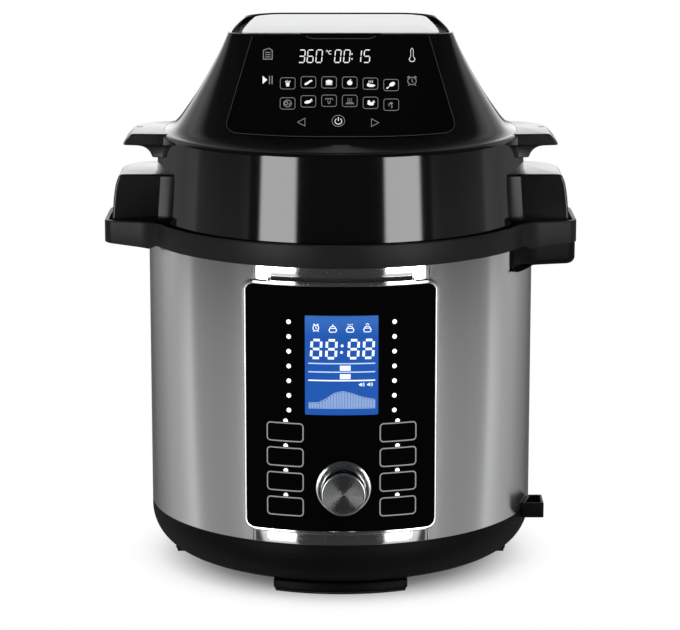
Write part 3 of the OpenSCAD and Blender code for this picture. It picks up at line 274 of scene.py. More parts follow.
def beside_ray(out: Array, across: Array, up: Array, turn: float) -> Array:
    """Points out along a ray and across from it; the ray is -Y turned by an angle."""
    return coords(out * math.sin(turn) + across * math.cos(turn),
                  -out * math.cos(turn) + across * math.sin(turn), up)


def outline_normals(outline: Array) -> Array:
    """Outward unit normals of a closed outline: its tangent turned by -90 degrees."""
    tangent = np.roll(outline, -1, axis=0) - np.roll(outline, 1, axis=0)
    tangent /= np.linalg.norm(tangent, axis=1, keepdims=True)
    return coords(tangent[:, 1], -tangent[:, 0])


def carried(outline: Array, profile: Array) -> Array:
    """Carries a profile of (distance outwards, height) along a closed outline.

    Point = outline + distance * outward normal, at the profile's height.

    Args:
        outline: Closed counter-clockwise outline, one point per row.
        profile: Points of the profile.

    Returns:
        Grid of points, profile by outline by three.
    """
    n = outline_normals(outline)
    flat = outline[None] + profile[:, None, :1] * n[None]
    z = np.broadcast_to(profile[:, None, 1:], (*flat.shape[:2], 1))
    return np.concatenate([flat, z], axis=-1)


def slab(name: str, outline: Array, z0: float, z1: float, top: float, foot: float,
         steps: int = 4) -> bpy.types.Object:
    """A flat slab with rounded upper and lower edges, closed by a face above and below.

    Args:
        name: Name of the piece.
        outline: Counter-clockwise outline.
        z0: Height of the underside.
        z1: Height of the top.
        top: Radius of the upper edge.
        foot: Radius of the lower edge.
        steps: Number of pieces in each edge's arc.

    Returns:
        The new object.
    """
    profile = np.concatenate([arc(-foot, z0 + foot, foot, -90, 0, steps),
                              arc(-top, z1 - top, top, 0, 90, steps)])
    grid = carried(outline, profile)
    faces = closed_faces(*grid.shape[:2])
    uv = np.concatenate([grid[..., :1], grid[..., 1:2]], axis=-1).reshape(-1, 2) * MM
    return make_piece(name, grid.reshape(-1, 3), faces, uv)


def rounded_rectangle(w: float, h: float, r: float, steps: int = 8, along: int = 1) -> Array:
    """Counter-clockwise rectangle about the origin with rounded corners.

    Args:
        w: Width.
        h: Height.
        r: Radius of the corners.
        steps: Number of pieces in each corner.
        along: Number of pieces in each straight side.

    Returns:
        Points of the outline.
    """
    x, y = w / 2 - r, h / 2 - r
    ring = [arc(x, y, r, 0, 90, steps), arc(-x, y, r, 90, 180, steps),
            arc(-x, -y, r, 180, 270, steps), arc(x, -y, r, 270, 360, steps)]
    t = np.linspace(0, 1, along + 1)[1:-1, None]
    sides = [ring[k][-1] * (1 - t) + ring[(k + 1) % 4][0] * t for k in range(4)]
    return np.concatenate([part for pair in zip(ring, sides) for part in pair])


def soft_copy(node: str, name: str, width: float, segments: int = 3,
              turn: float = 30.0) -> bpy.types.Object:
    """Copies a solid's mesh, merges its loose triangles and rounds its edges.

    Args:
        node: Name of the solid.
        name: Name of the new piece.
        width: Width of the rounding in millimetres.
        segments: Number of pieces in each rounding.
        turn: Edges that turn by more than this many degrees are rounded.

    Returns:
        The new object, with a Bevel modifier.
    """
    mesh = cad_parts[node].data.copy()
    mesh.name = name
    work = bmesh.new()
    work.from_mesh(mesh)
    bmesh.ops.remove_doubles(work, verts=work.verts, dist=2e-6)
    bmesh.ops.dissolve_limit(work, angle_limit=math.radians(1.0), verts=work.verts,
                             edges=work.edges)
    work.to_mesh(mesh)
    work.free()
    mesh.normals_split_custom_set_from_vertices([(0, 0, 0)] * len(mesh.vertices))
    mesh.polygons.foreach_set("use_smooth", np.ones(len(mesh.polygons), dtype=bool))
    mesh.set_sharp_from_angle(angle=math.radians(turn))
    mesh.materials.clear()
    piece = placed(name, mesh)
    bevel = piece.modifiers.new("rounding", "BEVEL")
    bevel.width, bevel.segments = width * MM, segments
    bevel.limit_method, bevel.angle_limit = "ANGLE", math.radians(turn)
    bevel.harden_normals = False
    return piece


# ---------- finishes ----------


def tone(red: int, green: int, blue: int) -> Colour:
    """Linear colour of a display colour given as 0 to 255."""
    c = np.array([red, green, blue]) / 255
    line = np.where(c <= 0.04045, c / 12.92, ((c + 0.055) / 1.055) ** 2.4)
    return tuple(float(v) for v in line)


def scaled(colour: Colour, factor: float) -> Colour:
    """A colour made lighter or darker by a factor."""
    return tuple(min(1.0, c * factor) for c in colour)


class Nodes:
    """The node tree of a material or world in the making."""

    def __init__(self, owner: bpy.types.Material | bpy.types.World) -> None:
        """Empties the owner's tree."""
        owner.use_nodes = True
        self.tree = owner.node_tree
        self.tree.nodes.clear()

    def node(self, kind: str, **values: object) -> bpy.types.Node:
        """A new node, its inputs set by name with underscores for spaces."""
        made = self.tree.nodes.new("ShaderNode" + kind)
        for key, value in values.items():
            made.inputs[key.replace("_", " ")].default_value = value
        return made

    def link(self, source: Socket, target: Socket) -> None:
        """Links an output to an input."""
        self.tree.links.new(source, target)

    def shades(self, source: Socket, stops: Sequence[tuple[float, Colour]]) -> Socket:
        """Colours between stops along a value, and returns the output socket."""
        node = self.node("ValToRGB")
        ramp = node.color_ramp.elements
        while len(ramp) < len(stops):
            ramp.new(0.5)
        for element, (place, colour) in zip(ramp, stops):
            element.position = place
            element.color = (*colour, 1.0)
        self.link(source, node.inputs[0])
        return node.outputs[0]

    def maths(self, kind: str, *sources: Socket | float) -> Socket:
        """A Math node over sockets or numbers, and returns its output socket."""
        node = self.node("Math")
        node.operation = kind
        for k, source in enumerate(sources):
            if isinstance(source, (int, float)):
                node.inputs[k].default_value = source
            else:
                self.link(source, node.inputs[k])
        return node.outputs[0]


class Shader(Nodes):
    """A material in the making: a Principled surface and the patterns that feed it."""

    def __init__(self, name: str) -> None:
        """Starts an empty material with a Principled surface."""
        self.material = bpy.data.materials.new(name)
        super().__init__(self.material)
        self.surface, self.output = self.node("BsdfPrincipled"), self.node("OutputMaterial")
        self.link(self.surface.outputs[0], self.output.inputs["Surface"])
        self.place = self.node("TexCoord")

    def set(self, **values: object) -> None:
        """Sets sockets of the surface, given by name with underscores for spaces."""
        for key, value in values.items():
            three = isinstance(value, tuple) and len(value) == 3
            socket = self.surface.inputs[key.replace("_", " ")]
            socket.default_value = (*value, 1.0) if three else value

    def coordinates(self, scale: tuple[float, float, float], on_uv: bool = False) -> Socket:
        """Object or UV coordinates stretched by a scale.

        Args:
            scale: Factor on each axis.
            on_uv: Whether the piece's UV map is used.

        Returns:
            The output socket with the coordinates.
        """
        mapping = self.node("Mapping", Scale=scale)
        self.link(self.place.outputs["UV" if on_uv else "Object"], mapping.inputs["Vector"])
        return mapping.outputs[0]

    def noise(self, scale: tuple[float, float, float], detail: float = 2.0,
              on_uv: bool = False) -> Socket:
        """Noise over stretched coordinates.

        Args:
            scale: Number of noise cells per metre on each axis.
            detail: Number of finer layers.
            on_uv: Whether the piece's UV map is used.

        Returns:
            The output socket with values about 0.5.
        """
        node = self.node("TexNoise", Scale=1.0, Detail=detail)
        self.link(self.coordinates(scale, on_uv), node.inputs["Vector"])
        return node.outputs["Fac"]

    def spread(self, source: Socket, low: float, high: float) -> Socket:
        """Maps values from 0.3 to 0.7 onto a range, and returns the output socket."""
        node = self.node("MapRange", From_Min=0.3, From_Max=0.7, To_Min=low, To_Max=high)
        self.link(source, node.inputs["Value"])
        return node.outputs[0]

    def tint(self, source: Socket, colour: Colour, low: float, high: float) -> None:
        """Feeds a pattern to the base colour as a darker and a lighter shade of a colour."""
        stops = [(0.3, scaled(colour, low)), (0.7, scaled(colour, high))]
        self.feed(self.shades(source, stops), "Base Color")

    def feed(self, source: Socket, socket: str) -> None:
        """Links an output to one of the surface's sockets."""
        self.link(source, self.surface.inputs[socket])

    def bump(self, source: Socket, depth: float, strength: float = 1.0) -> None:
        """Raises the surface by a pattern, up to a depth in millimetres."""
        node = self.node("Bump", Strength=strength, Distance=depth * MM)
        self.link(source, node.inputs["Height"])
        self.feed(node.outputs[0], "Normal")

    def along_uv(self, turn: float) -> None:
        """Lays the grain along the UV map's u direction, turned by a share of a full turn."""
        node = self.node("Tangent")
        node.direction_type, node.uv_map = "UV_MAP", "UVMap"
        self.feed(node.outputs[0], "Tangent")
        self.set(Anisotropic_Rotation=turn)


@dataclass(frozen=True)
class Finish:
    """What every finish has: its name, its colour and how it is made into a material."""

    name: str
    colour: Colour

    def dress(self, shader: Shader) -> None:
        """Sets the plain colour."""
        shader.set(Base_Color=self.colour)

    def material(self) -> bpy.types.Material:
        """The finish's material, made once."""
        made = bpy.data.materials.get(self.name)
        if made is None:
            shader = Shader(self.name)
            self.dress(shader)
            made = shader.material
        return made


@dataclass(frozen=True)
class Moulded(Finish):
    """Moulded plastic: a fine grain in the surface and slightly uneven gloss."""

    roughness: float = 0.4
    specular: float = 0.5
    grain: float = 1500.0
    depth: float = 0.03
    uneven: float = 0.05

    def dress(self, shader: Shader) -> None:
        """Adds the grain as bump, and cloudy changes of gloss and shade."""
        shader.set(Specular_IOR_Level=self.specular)
        cloud = shader.noise((22.0, 22.0, 22.0), 3.0)
        shader.feed(shader.spread(cloud, self.roughness - self.uneven,
                                  self.roughness + self.uneven), "Roughness")
        shader.tint(cloud, self.colour, 0.9, 1.1)
        if self.depth > 0:
            shader.bump(shader.noise((self.grain,) * 3, 1.0), self.depth, 0.35)


@dataclass(frozen=True)
class Brushed(Finish):
    """Brushed metal: fine lines along u, and highlights drawn out across them."""

    roughness: float = 0.3
    lines: float = 4200.0
    around: float = 14.0
    anisotropy: float = 0.5
    streaks: float = 0.03
    depth: float = 0.004

    def dress(self, shader: Shader) -> None:
        """Adds streaks to shade and gloss, the lines as bump, and the drawn-out highlight."""
        shader.set(Metallic=1.0, Anisotropic=self.anisotropy)
        shader.along_uv(0.25)
        fine = shader.noise((self.around, self.lines, 1.0), 3.0, on_uv=True)
        shader.tint(fine, self.colour, 1 - self.streaks, 1 + self.streaks)
        shader.feed(shader.spread(fine, self.roughness - 0.03, self.roughness + 0.03), "Roughness")
        shader.bump(fine, self.depth, 0.3)


@dataclass(frozen=True)
class Polished(Finish):
    """Polished or plain metal: a faint cloudiness in its gloss."""

    roughness: float = 0.06
    uneven: float = 0.02
    grain: float = 300.0
    depth: float = 0.0

    def dress(self, shader: Shader) -> None:
        """Adds the cloudiness to gloss and shade, and a grain where the metal is cast."""
        shader.set(Metallic=1.0)
        cloud = shader.noise((35.0, 35.0, 35.0), 4.0)
        shader.feed(shader.spread(cloud, max(0.01, self.roughness - self.uneven),
                                  self.roughness + self.uneven), "Roughness")
        shader.tint(cloud, self.colour, 0.97, 1.03)
        if self.depth > 0:
            shader.bump(shader.noise((self.grain,) * 3, 3.0), self.depth, 0.5)


@dataclass(frozen=True)
class Lit(Finish):
    """Printed ink or a lamp behind a lens: its colour, partly given off as light."""

    glow: float = 0.6
    mottle: float = 0.06

    def dress(self, shader: Shader) -> None:
        """Sets the ink's matt surface and its glow, slightly uneven as a back light is."""
        cloud = shader.noise((420.0, 420.0, 420.0), 2.0)
        colours = shader.shades(cloud,
                                [(0.3, scaled(self.colour, 1 - self.mottle)), (0.7, self.colour)])
        shader.set(Roughness=0.6, Specular_IOR_Level=0.1, Emission_Strength=self.glow)
        shader.feed(colours, "Base Color")
        shader.feed(colours, "Emission Color")


@dataclass(frozen=True)
class Display(Finish):
    """A back-lit display: blue, a little paler towards its top, with a fine dot grid."""

    top: Colour = tone(44, 91, 162)
    z_low: float = 0.19
    z_high: float = 0.2

    def dress(self, shader: Shader) -> None:
        """Adds the change of colour over the height, and the dots in gloss."""
        split = shader.node("SeparateXYZ")
        shader.link(shader.place.outputs["Object"], split.inputs[0])
        height = shader.node("MapRange", From_Min=self.z_low, From_Max=self.z_high)
        shader.link(split.outputs["Z"], height.inputs["Value"])
        colours = shader.shades(height.outputs[0], [(0.0, self.colour), (1.0, self.top)])
        dots = shader.node("TexChecker", Scale=2200.0)
        shader.link(shader.place.outputs["Object"], dots.inputs["Vector"])
        shader.feed(shader.spread(dots.outputs["Fac"], 0.45, 0.55), "Roughness")
        shader.set(Specular_IOR_Level=0.05, Emission_Strength=0.62)
        shader.feed(colours, "Base Color")
        shader.feed(colours, "Emission Color")


@dataclass(frozen=True)
class Circuit(Finish):
    """A circuit board: green solder mask over copper traces."""

    def dress(self, shader: Shader) -> None:
        """Lays paler traces in a grid of uneven cells over the mask."""
        cells = shader.node("TexVoronoi")
        cells.feature, cells.distance = "DISTANCE_TO_EDGE", "MANHATTAN"
        cells.inputs["Scale"].default_value = 160.0
        shader.link(shader.place.outputs["Object"], cells.inputs["Vector"])
        shader.feed(shader.shades(cells.outputs["Distance"], [
            (0.0, scaled(self.colour, 1.8)), (0.08, self.colour)]), "Base Color")
        shader.set(Roughness=0.35)


class Finishes:
    """Every finish of the cooker, named for what it is on."""

    steel = Brushed("brushed_steel_wrap", (0.82, 0.825, 0.83), roughness=0.21, anisotropy=0.9,
                    streaks=0.012, depth=0.0008)
    strip = Polished("polished_steel_strip", (0.78, 0.79, 0.80), roughness=0.07, uneven=0.015)
    chrome = Polished("chrome_trim", (0.86, 0.87, 0.88), roughness=0.09, uneven=0.02)
    knob_side = Brushed("turned_knob_side", (0.80, 0.81, 0.82), roughness=0.16, around=60.0,
                        anisotropy=0.3, streaks=0.02)
    knob_face = Brushed("spun_knob_face", (0.50, 0.505, 0.51), roughness=0.24, around=9.0,
                        lines=2600.0, anisotropy=0.85, streaks=0.05)
    top_plate = Brushed("satin_top_plate", (0.66, 0.665, 0.67), roughness=0.42, around=18.0,
                        lines=2400.0, anisotropy=0.4, streaks=0.02)
    shell = Moulded("moulded_black", (0.0040, 0.0040, 0.0042), roughness=0.42, specular=0.06,
                    depth=0.05)
    ring = Moulded("satin_black_ring", (0.0125, 0.0126, 0.0130), roughness=0.40, specular=0.12,
                   grain=1100.0, depth=0.02)
    gloss = Moulded("gloss_black_lid", (0.0024, 0.0024, 0.0026), roughness=0.07, specular=0.55,
                    grain=90.0, depth=0.004, uneven=0.01)
    holder = Moulded("satin_black_blocks", (0.0056, 0.0056, 0.0058), roughness=0.22, specular=0.62,
                     grain=1100.0, depth=0.01)
    panel = Moulded("black_panel_glass", (0.0021, 0.0021, 0.0022), roughness=0.5, specular=0.0,
                    grain=900.0, depth=0.0, uneven=0.03)
    rubber = Moulded("rubber_pads", (0.02, 0.02, 0.021), roughness=0.8, specular=0.25, grain=900.0,
                     depth=0.08)
    # Matt black rings laid on uncut surfaces where pin holes and pin funnels are: painted shade of
    # those hollows.
    seam = Moulded("painted_hollow_shade", (0.004, 0.004, 0.004), roughness=0.6, specular=0.2, depth=0.0)
    tin = Polished("zinc_sheet", (0.52, 0.53, 0.54), roughness=0.36, uneven=0.08, depth=0.02)
    pot = Brushed("pot_steel", (0.66, 0.66, 0.67), roughness=0.28)
    cast = Polished("cast_aluminium", (0.52, 0.53, 0.54), roughness=0.42, uneven=0.08, grain=700.0,
                    depth=0.06)
    rod = Polished("drawn_steel", (0.48, 0.48, 0.48), roughness=0.25, uneven=0.05)
    heated = Polished("heat_darkened_steel", (0.12, 0.115, 0.12), roughness=0.45, uneven=0.1,
                      depth=0.03)
    natural = Moulded("natural_plastic", (0.42, 0.40, 0.34), roughness=0.45)
    parts = Moulded("grey_parts", (0.05, 0.05, 0.055), roughness=0.5)
    brass = Polished("plated_brass", (0.66, 0.5, 0.24), roughness=0.22, uneven=0.05)
    board = Circuit("solder_mask", (0.012, 0.11, 0.045))
    white = Lit("white_lamp", tone(250, 250, 250), glow=0.9)
    outline = Lit("grey_ink", tone(150, 150, 152), glow=0.25)
    print_white = Lit("white_ink", tone(216, 216, 218), glow=0.5)
    print_grey = Lit("dim_ink", tone(122, 122, 124), glow=0.3)
    # Dim glowing grey for the touch panel's bow line, and for a painted highlight along the panel's
    # rim.
    edge_line_and_highlight = Lit("rim_highlight_and_line_ink", tone(58, 58, 60), glow=0.12)
    lcd = Display("blue_display", tone(27, 75, 152))
    lcd_white = Lit("display_white", tone(238, 243, 252), glow=0.7)
    lcd_pale = Lit("display_pale", tone(176, 196, 232), glow=0.6)
    lcd_bars = Lit("display_bars", tone(128, 152, 194), glow=0.6)


def settle(piece: bpy.types.Object, body: str, finish: Finish,
           stands_for: Sequence[str] = ()) -> bpy.types.Object:
    """Dresses a piece, makes it ride on a body and hides the solids it stands for.

    Args:
        piece: The new piece.
        body: Body that carries it.
        finish: Finish of the whole piece.
        stands_for: Solids that it hides.

    Returns:
        The same piece.
    """
    piece.data.materials.clear()
    piece.data.materials.append(finish.material())
    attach(piece, body)
    if stands_for:
        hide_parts(*stands_for)
    LOG.info("%s rides on %s, %d faces", piece.name, body, len(piece.data.polygons))
    return piece


def dress_node(node: str, finish: Finish) -> None:
    """Gives a solid that stays on show its finish."""
    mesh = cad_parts[node].data
    if not mesh.materials:
        mesh.materials.append(None)
    for k in range(len(mesh.materials)):
        mesh.materials[k] = finish.material()


def node_box(node: str) -> tuple[Array, Array]:
    """Lowest and highest corner of a solid, in millimetres."""
    lo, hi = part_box(node)
    return np.array(lo) / MM, np.array(hi) / MM


# ---------- printed shapes ----------


class Artwork:
    """Flat printed shapes, kept as points and faces in the panel's own two directions."""

    def __init__(self) -> None:
        """Starts with nothing printed."""
        self.points: list[Array] = []
        self.faces: list[list[int]] = []
        self.count = 0

    def add(self, points: Array, faces: list) -> None:
        """Adds points and the faces that number them from nought."""
        self.points.append(points)
        self.faces += [[k + self.count for k in face] for face in faces]
        self.count += len(points)

    def stroke(self, path: Sequence, width: float, closed: bool = False, step: float = 1.2) -> None:
        """A line of even width: each side lies half the width off the path, mitred at corners.

        Args:
            path: Points of the line.
            width: Width of the line.
            closed: Whether the last point joins the first.
            step: Longest piece of line, so that it can follow a curved panel.
        """
        p = np.asarray(path, dtype=float)
        if closed:
            p = np.concatenate([p, p[:1]])
        length = np.linalg.norm(np.diff(p, axis=0), axis=1)
        keep = np.concatenate([[True], length > 1e-6])
        p, length = p[keep], length[length > 1e-6]
        counts = np.maximum(1, np.ceil(length / step)).astype(int)
        share = np.concatenate([np.arange(n) / n for n in counts] + [[0.0]])
        index = np.concatenate([np.repeat(np.arange(len(counts)), counts), [len(counts)]])
        nxt = np.minimum(index + 1, len(p) - 1)
        q = p[index] + (p[nxt] - p[index]) * share[:, None]
        d = np.diff(q, axis=0)
        d /= np.linalg.norm(d, axis=1, keepdims=True)
        before = np.concatenate([d[-1:] if closed else d[:1], d])
        after = np.concatenate([d, d[:1] if closed else d[-1:]])
        n0 = coords(-before[:, 1], before[:, 0])
        n1 = coords(-after[:, 1], after[:, 0])
        m = n0 + n1
        m /= np.maximum(np.linalg.norm(m, axis=1, keepdims=True), 1e-9)
        m /= np.maximum((m * n0).sum(axis=1, keepdims=True), 0.45)
        both = np.stack([q + m * width / 2, q - m * width / 2]).reshape(-1, 2)
        self.add(both, grid_faces(2, len(q), False, False))

    def disc(self, x: float, y: float, r: float, steps: int = 20) -> None:
        """A filled circle."""
        a = 2 * np.pi * np.arange(steps) / steps
        rim = coords(x + r * np.cos(a), y + r * np.sin(a))
        self.add(np.concatenate([rim, [[x, y]]]),
                 [[k, (k + 1) % steps, steps] for k in range(steps)])

    def ring(self, x: float, y: float, r: float, width: float, start: float = 0.0,
             end: float = 360.0, stretch: float = 1.0) -> None:
        """An arc line about a centre, from one angle to another in degrees."""
        path = arc(0, 0, r, start, end, 28) * [1, stretch] + [x, y]
        whole = end - start >= 360
        self.stroke(path[:-1] if whole else path, width, closed=whole)

    def fill(self, corners: Sequence) -> None:
        """A filled convex shape, cut into triangles round its middle."""
        p = np.asarray(corners, dtype=float)
        t = np.linspace(0, 1, 5)[None, :-1, None]
        edge = (p[:, None] * (1 - t) + np.roll(p, -1, axis=0)[:, None] * t).reshape(-1, 2)
        n = len(edge)
        self.add(np.concatenate([edge, edge.mean(axis=0, keepdims=True)]),
                 [[k, (k + 1) % n, n] for k in range(n)])

    def bar(self, x0: float, x1: float, y0: float, y1: float, step: float = 1.6) -> None:
        """A filled rectangle, cut into columns so that it can follow a curve."""
        cols = max(1, math.ceil((x1 - x0) / step))
        x, y = np.meshgrid(np.linspace(x0, x1, cols + 1), [y0, y1])
        self.add(coords(x, y).reshape(-1, 2), grid_faces(2, cols + 1, False, False))

    def piece(self, name: str, place: Callable[[Array], Array]) -> bpy.types.Object:
        """Puts the shapes on a surface.

        Args:
            name: Name of the piece.
            place: Turns points in the panel's directions into points in space.

        Returns:
            The new object, its faces turned outwards.
        """
        flat = np.concatenate(self.points)
        return make_piece(name, place(flat), self.turned(flat))

    def turned(self, flat: Array) -> list:
        """The faces, each listed counter-clockwise in the panel's directions."""
        out = []
        for face in self.faces:
            x, y = flat[face, 0], flat[face, 1]
            area = float((x * np.roll(y, -1) - np.roll(x, -1) * y).sum())
            out.append(face if area > 0 else face[::-1])
        return out


class Segments(Enum):
    """Lit bars: t top, l and u upper left and right, m middle, v and r lower, b bottom."""

    ZERO = "tluvrb"
    ONE = "ur"
    THREE = "tumrb"
    FIVE = "tlmrb"
    SIX = "tlmvrb"
    EIGHT = "tlumvrb"


def draw_digit(art: Artwork, x: float, y: float, w: float, h: float, width: float, lit: Segments,
               slant: float = 0.06) -> None:
    """Draws a seven-bar digit.

    Args:
        art: Where it is drawn.
        x: Left edge at the foot.
        y: Foot.
        w: Width.
        h: Height.
        width: Width of a bar.
        lit: Which bars are lit.
        slant: Shift to the right for each step up.
    """
    k, g = width / 2, width * 0.62
    left, right, low, high, mid = k, w - k, k, h - k, h / 2
    bars = {"t": ((left + g, high), (right - g, high)), "b": ((left + g, low), (right - g, low)),
            "m": ((left + g, mid), (right - g, mid)), "l": ((left, mid + g), (left, high - g)),
            "u": ((right, mid + g), (right, high - g)), "v": ((left, low + g), (left, mid - g)),
            "r": ((right, low + g), (right, mid - g))}
    for bar in lit.value:
        path = np.array(bars[bar]) + [x, y]
        path[:, 0] += slant * (path[:, 1] - y)
        art.stroke(path, width)


# ---------- steel body ----------


@dataclass
class SteelBody:
    """The brushed wrap and the polished strip behind the control panel."""

    sheet: float = 0.8
    strip_x: float = 60.0
    seam: float = 0.5
    edge: float = 0.35
    inner_edge: float = 0.1
    window_x: float = 49.4
    window_in: float = 6.6

    def sheet_ring(self, name: str, start: float, sweep: float, steps: int, z0: float, z1: float,
                   r: float) -> bpy.types.Object:
        """A bent sheet: a thin closed profile with rounded outer corners, turned through an angle.

        Args:
            name: Name of the piece.
            start: First angle in degrees.
            sweep: Angle covered.
            steps: Number of pieces in the turn.
            z0: Lower edge.
            z1: Upper edge.
            r: Outer radius.

        Returns:
            The new object, with u once round and v up.
        """
        corners = np.array([[r - self.sheet, z0], [r, z0], [r, z1], [r - self.sheet, z1]])
        ring = rounded_corners(corners, [self.inner_edge, self.edge, self.edge, self.inner_edge], 3)
        grid = lathe(ring, steps, start, sweep)
        u = np.linspace(start, start + sweep, steps + 1) / 360
        uv = coords(u[None], ring[:, 1:] * MM)
        return grid_piece(name, grid, close_rows=True, uv=uv, caps=True)

    def build(self) -> None:
        """Makes the wrap and the strip, and dresses them."""
        lo, hi = node_box("outer_shell")
        r, z0, z1 = hi[0], lo[2], hi[2]
        half = math.degrees(math.asin(self.strip_x / r))
        gap = math.degrees(self.seam / r)
        wrap = self.sheet_ring("steel_wrap", -90 + half + gap, 360 - 2 * (half + gap), 320, z0, z1,
                               r)
        settle(wrap, "base", Finishes.steel, ["outer_shell"])
        strip = self.strip(r, half, z0, z1)
        settle(strip, "base", Finishes.strip, ["front_strip"])

    def strip(self, r: float, half: float, z0: float, z1: float) -> bpy.types.Object:
        """The polished strip: an arc of sheet with a window behind the panel.

        The grid's lines lie on the window's edges, and the squares inside it are left out.

        Args:
            r: Outer radius.
            half: Half of the strip's angle in degrees.
            z0: Lower edge.
            z1: Upper edge.

        Returns:
            The new object.
        """
        panel_lo, panel_hi = node_box("panel_frame")
        w = math.degrees(math.asin(self.window_x / r))
        angles = np.concatenate([np.linspace(-half, -w, 8), np.linspace(-w, w, 40)[1:],
                                 np.linspace(w, half, 8)[1:]])
        low, high = panel_lo[2] + self.window_in, panel_hi[2] - self.window_in
        roll = arc(0, 0, self.edge, -90, 0, 3)
        heights = np.concatenate([roll[:, 1] + z0 + self.edge, [low, high],
                                  -roll[::-1, 1] + z1 - self.edge])
        radii = np.concatenate([roll[:, 0] - self.edge, [0, 0], roll[::-1, 0] - self.edge]) + r
        a = np.radians(angles - 90)[None]
        grid = polar(radii[:, None], a, heights[:, None])
        rows, cols = grid.shape[:2]
        quads = np.array(grid_faces(rows, cols, False, False)).reshape(rows - 1, cols - 1, 4)
        across = np.abs(angles[:-1] + angles[1:]) / 2 < w
        middle = across[None] & (np.arange(rows - 1) == len(roll))[:, None]
        piece = make_piece("polished_strip", grid.reshape(-1, 3), quads[~middle].tolist())
        wall = piece.modifiers.new("sheet", "SOLIDIFY")
        wall.thickness, wall.offset = self.sheet * MM, -1.0
        return piece


# ---------- upper ring and what hangs on it ----------


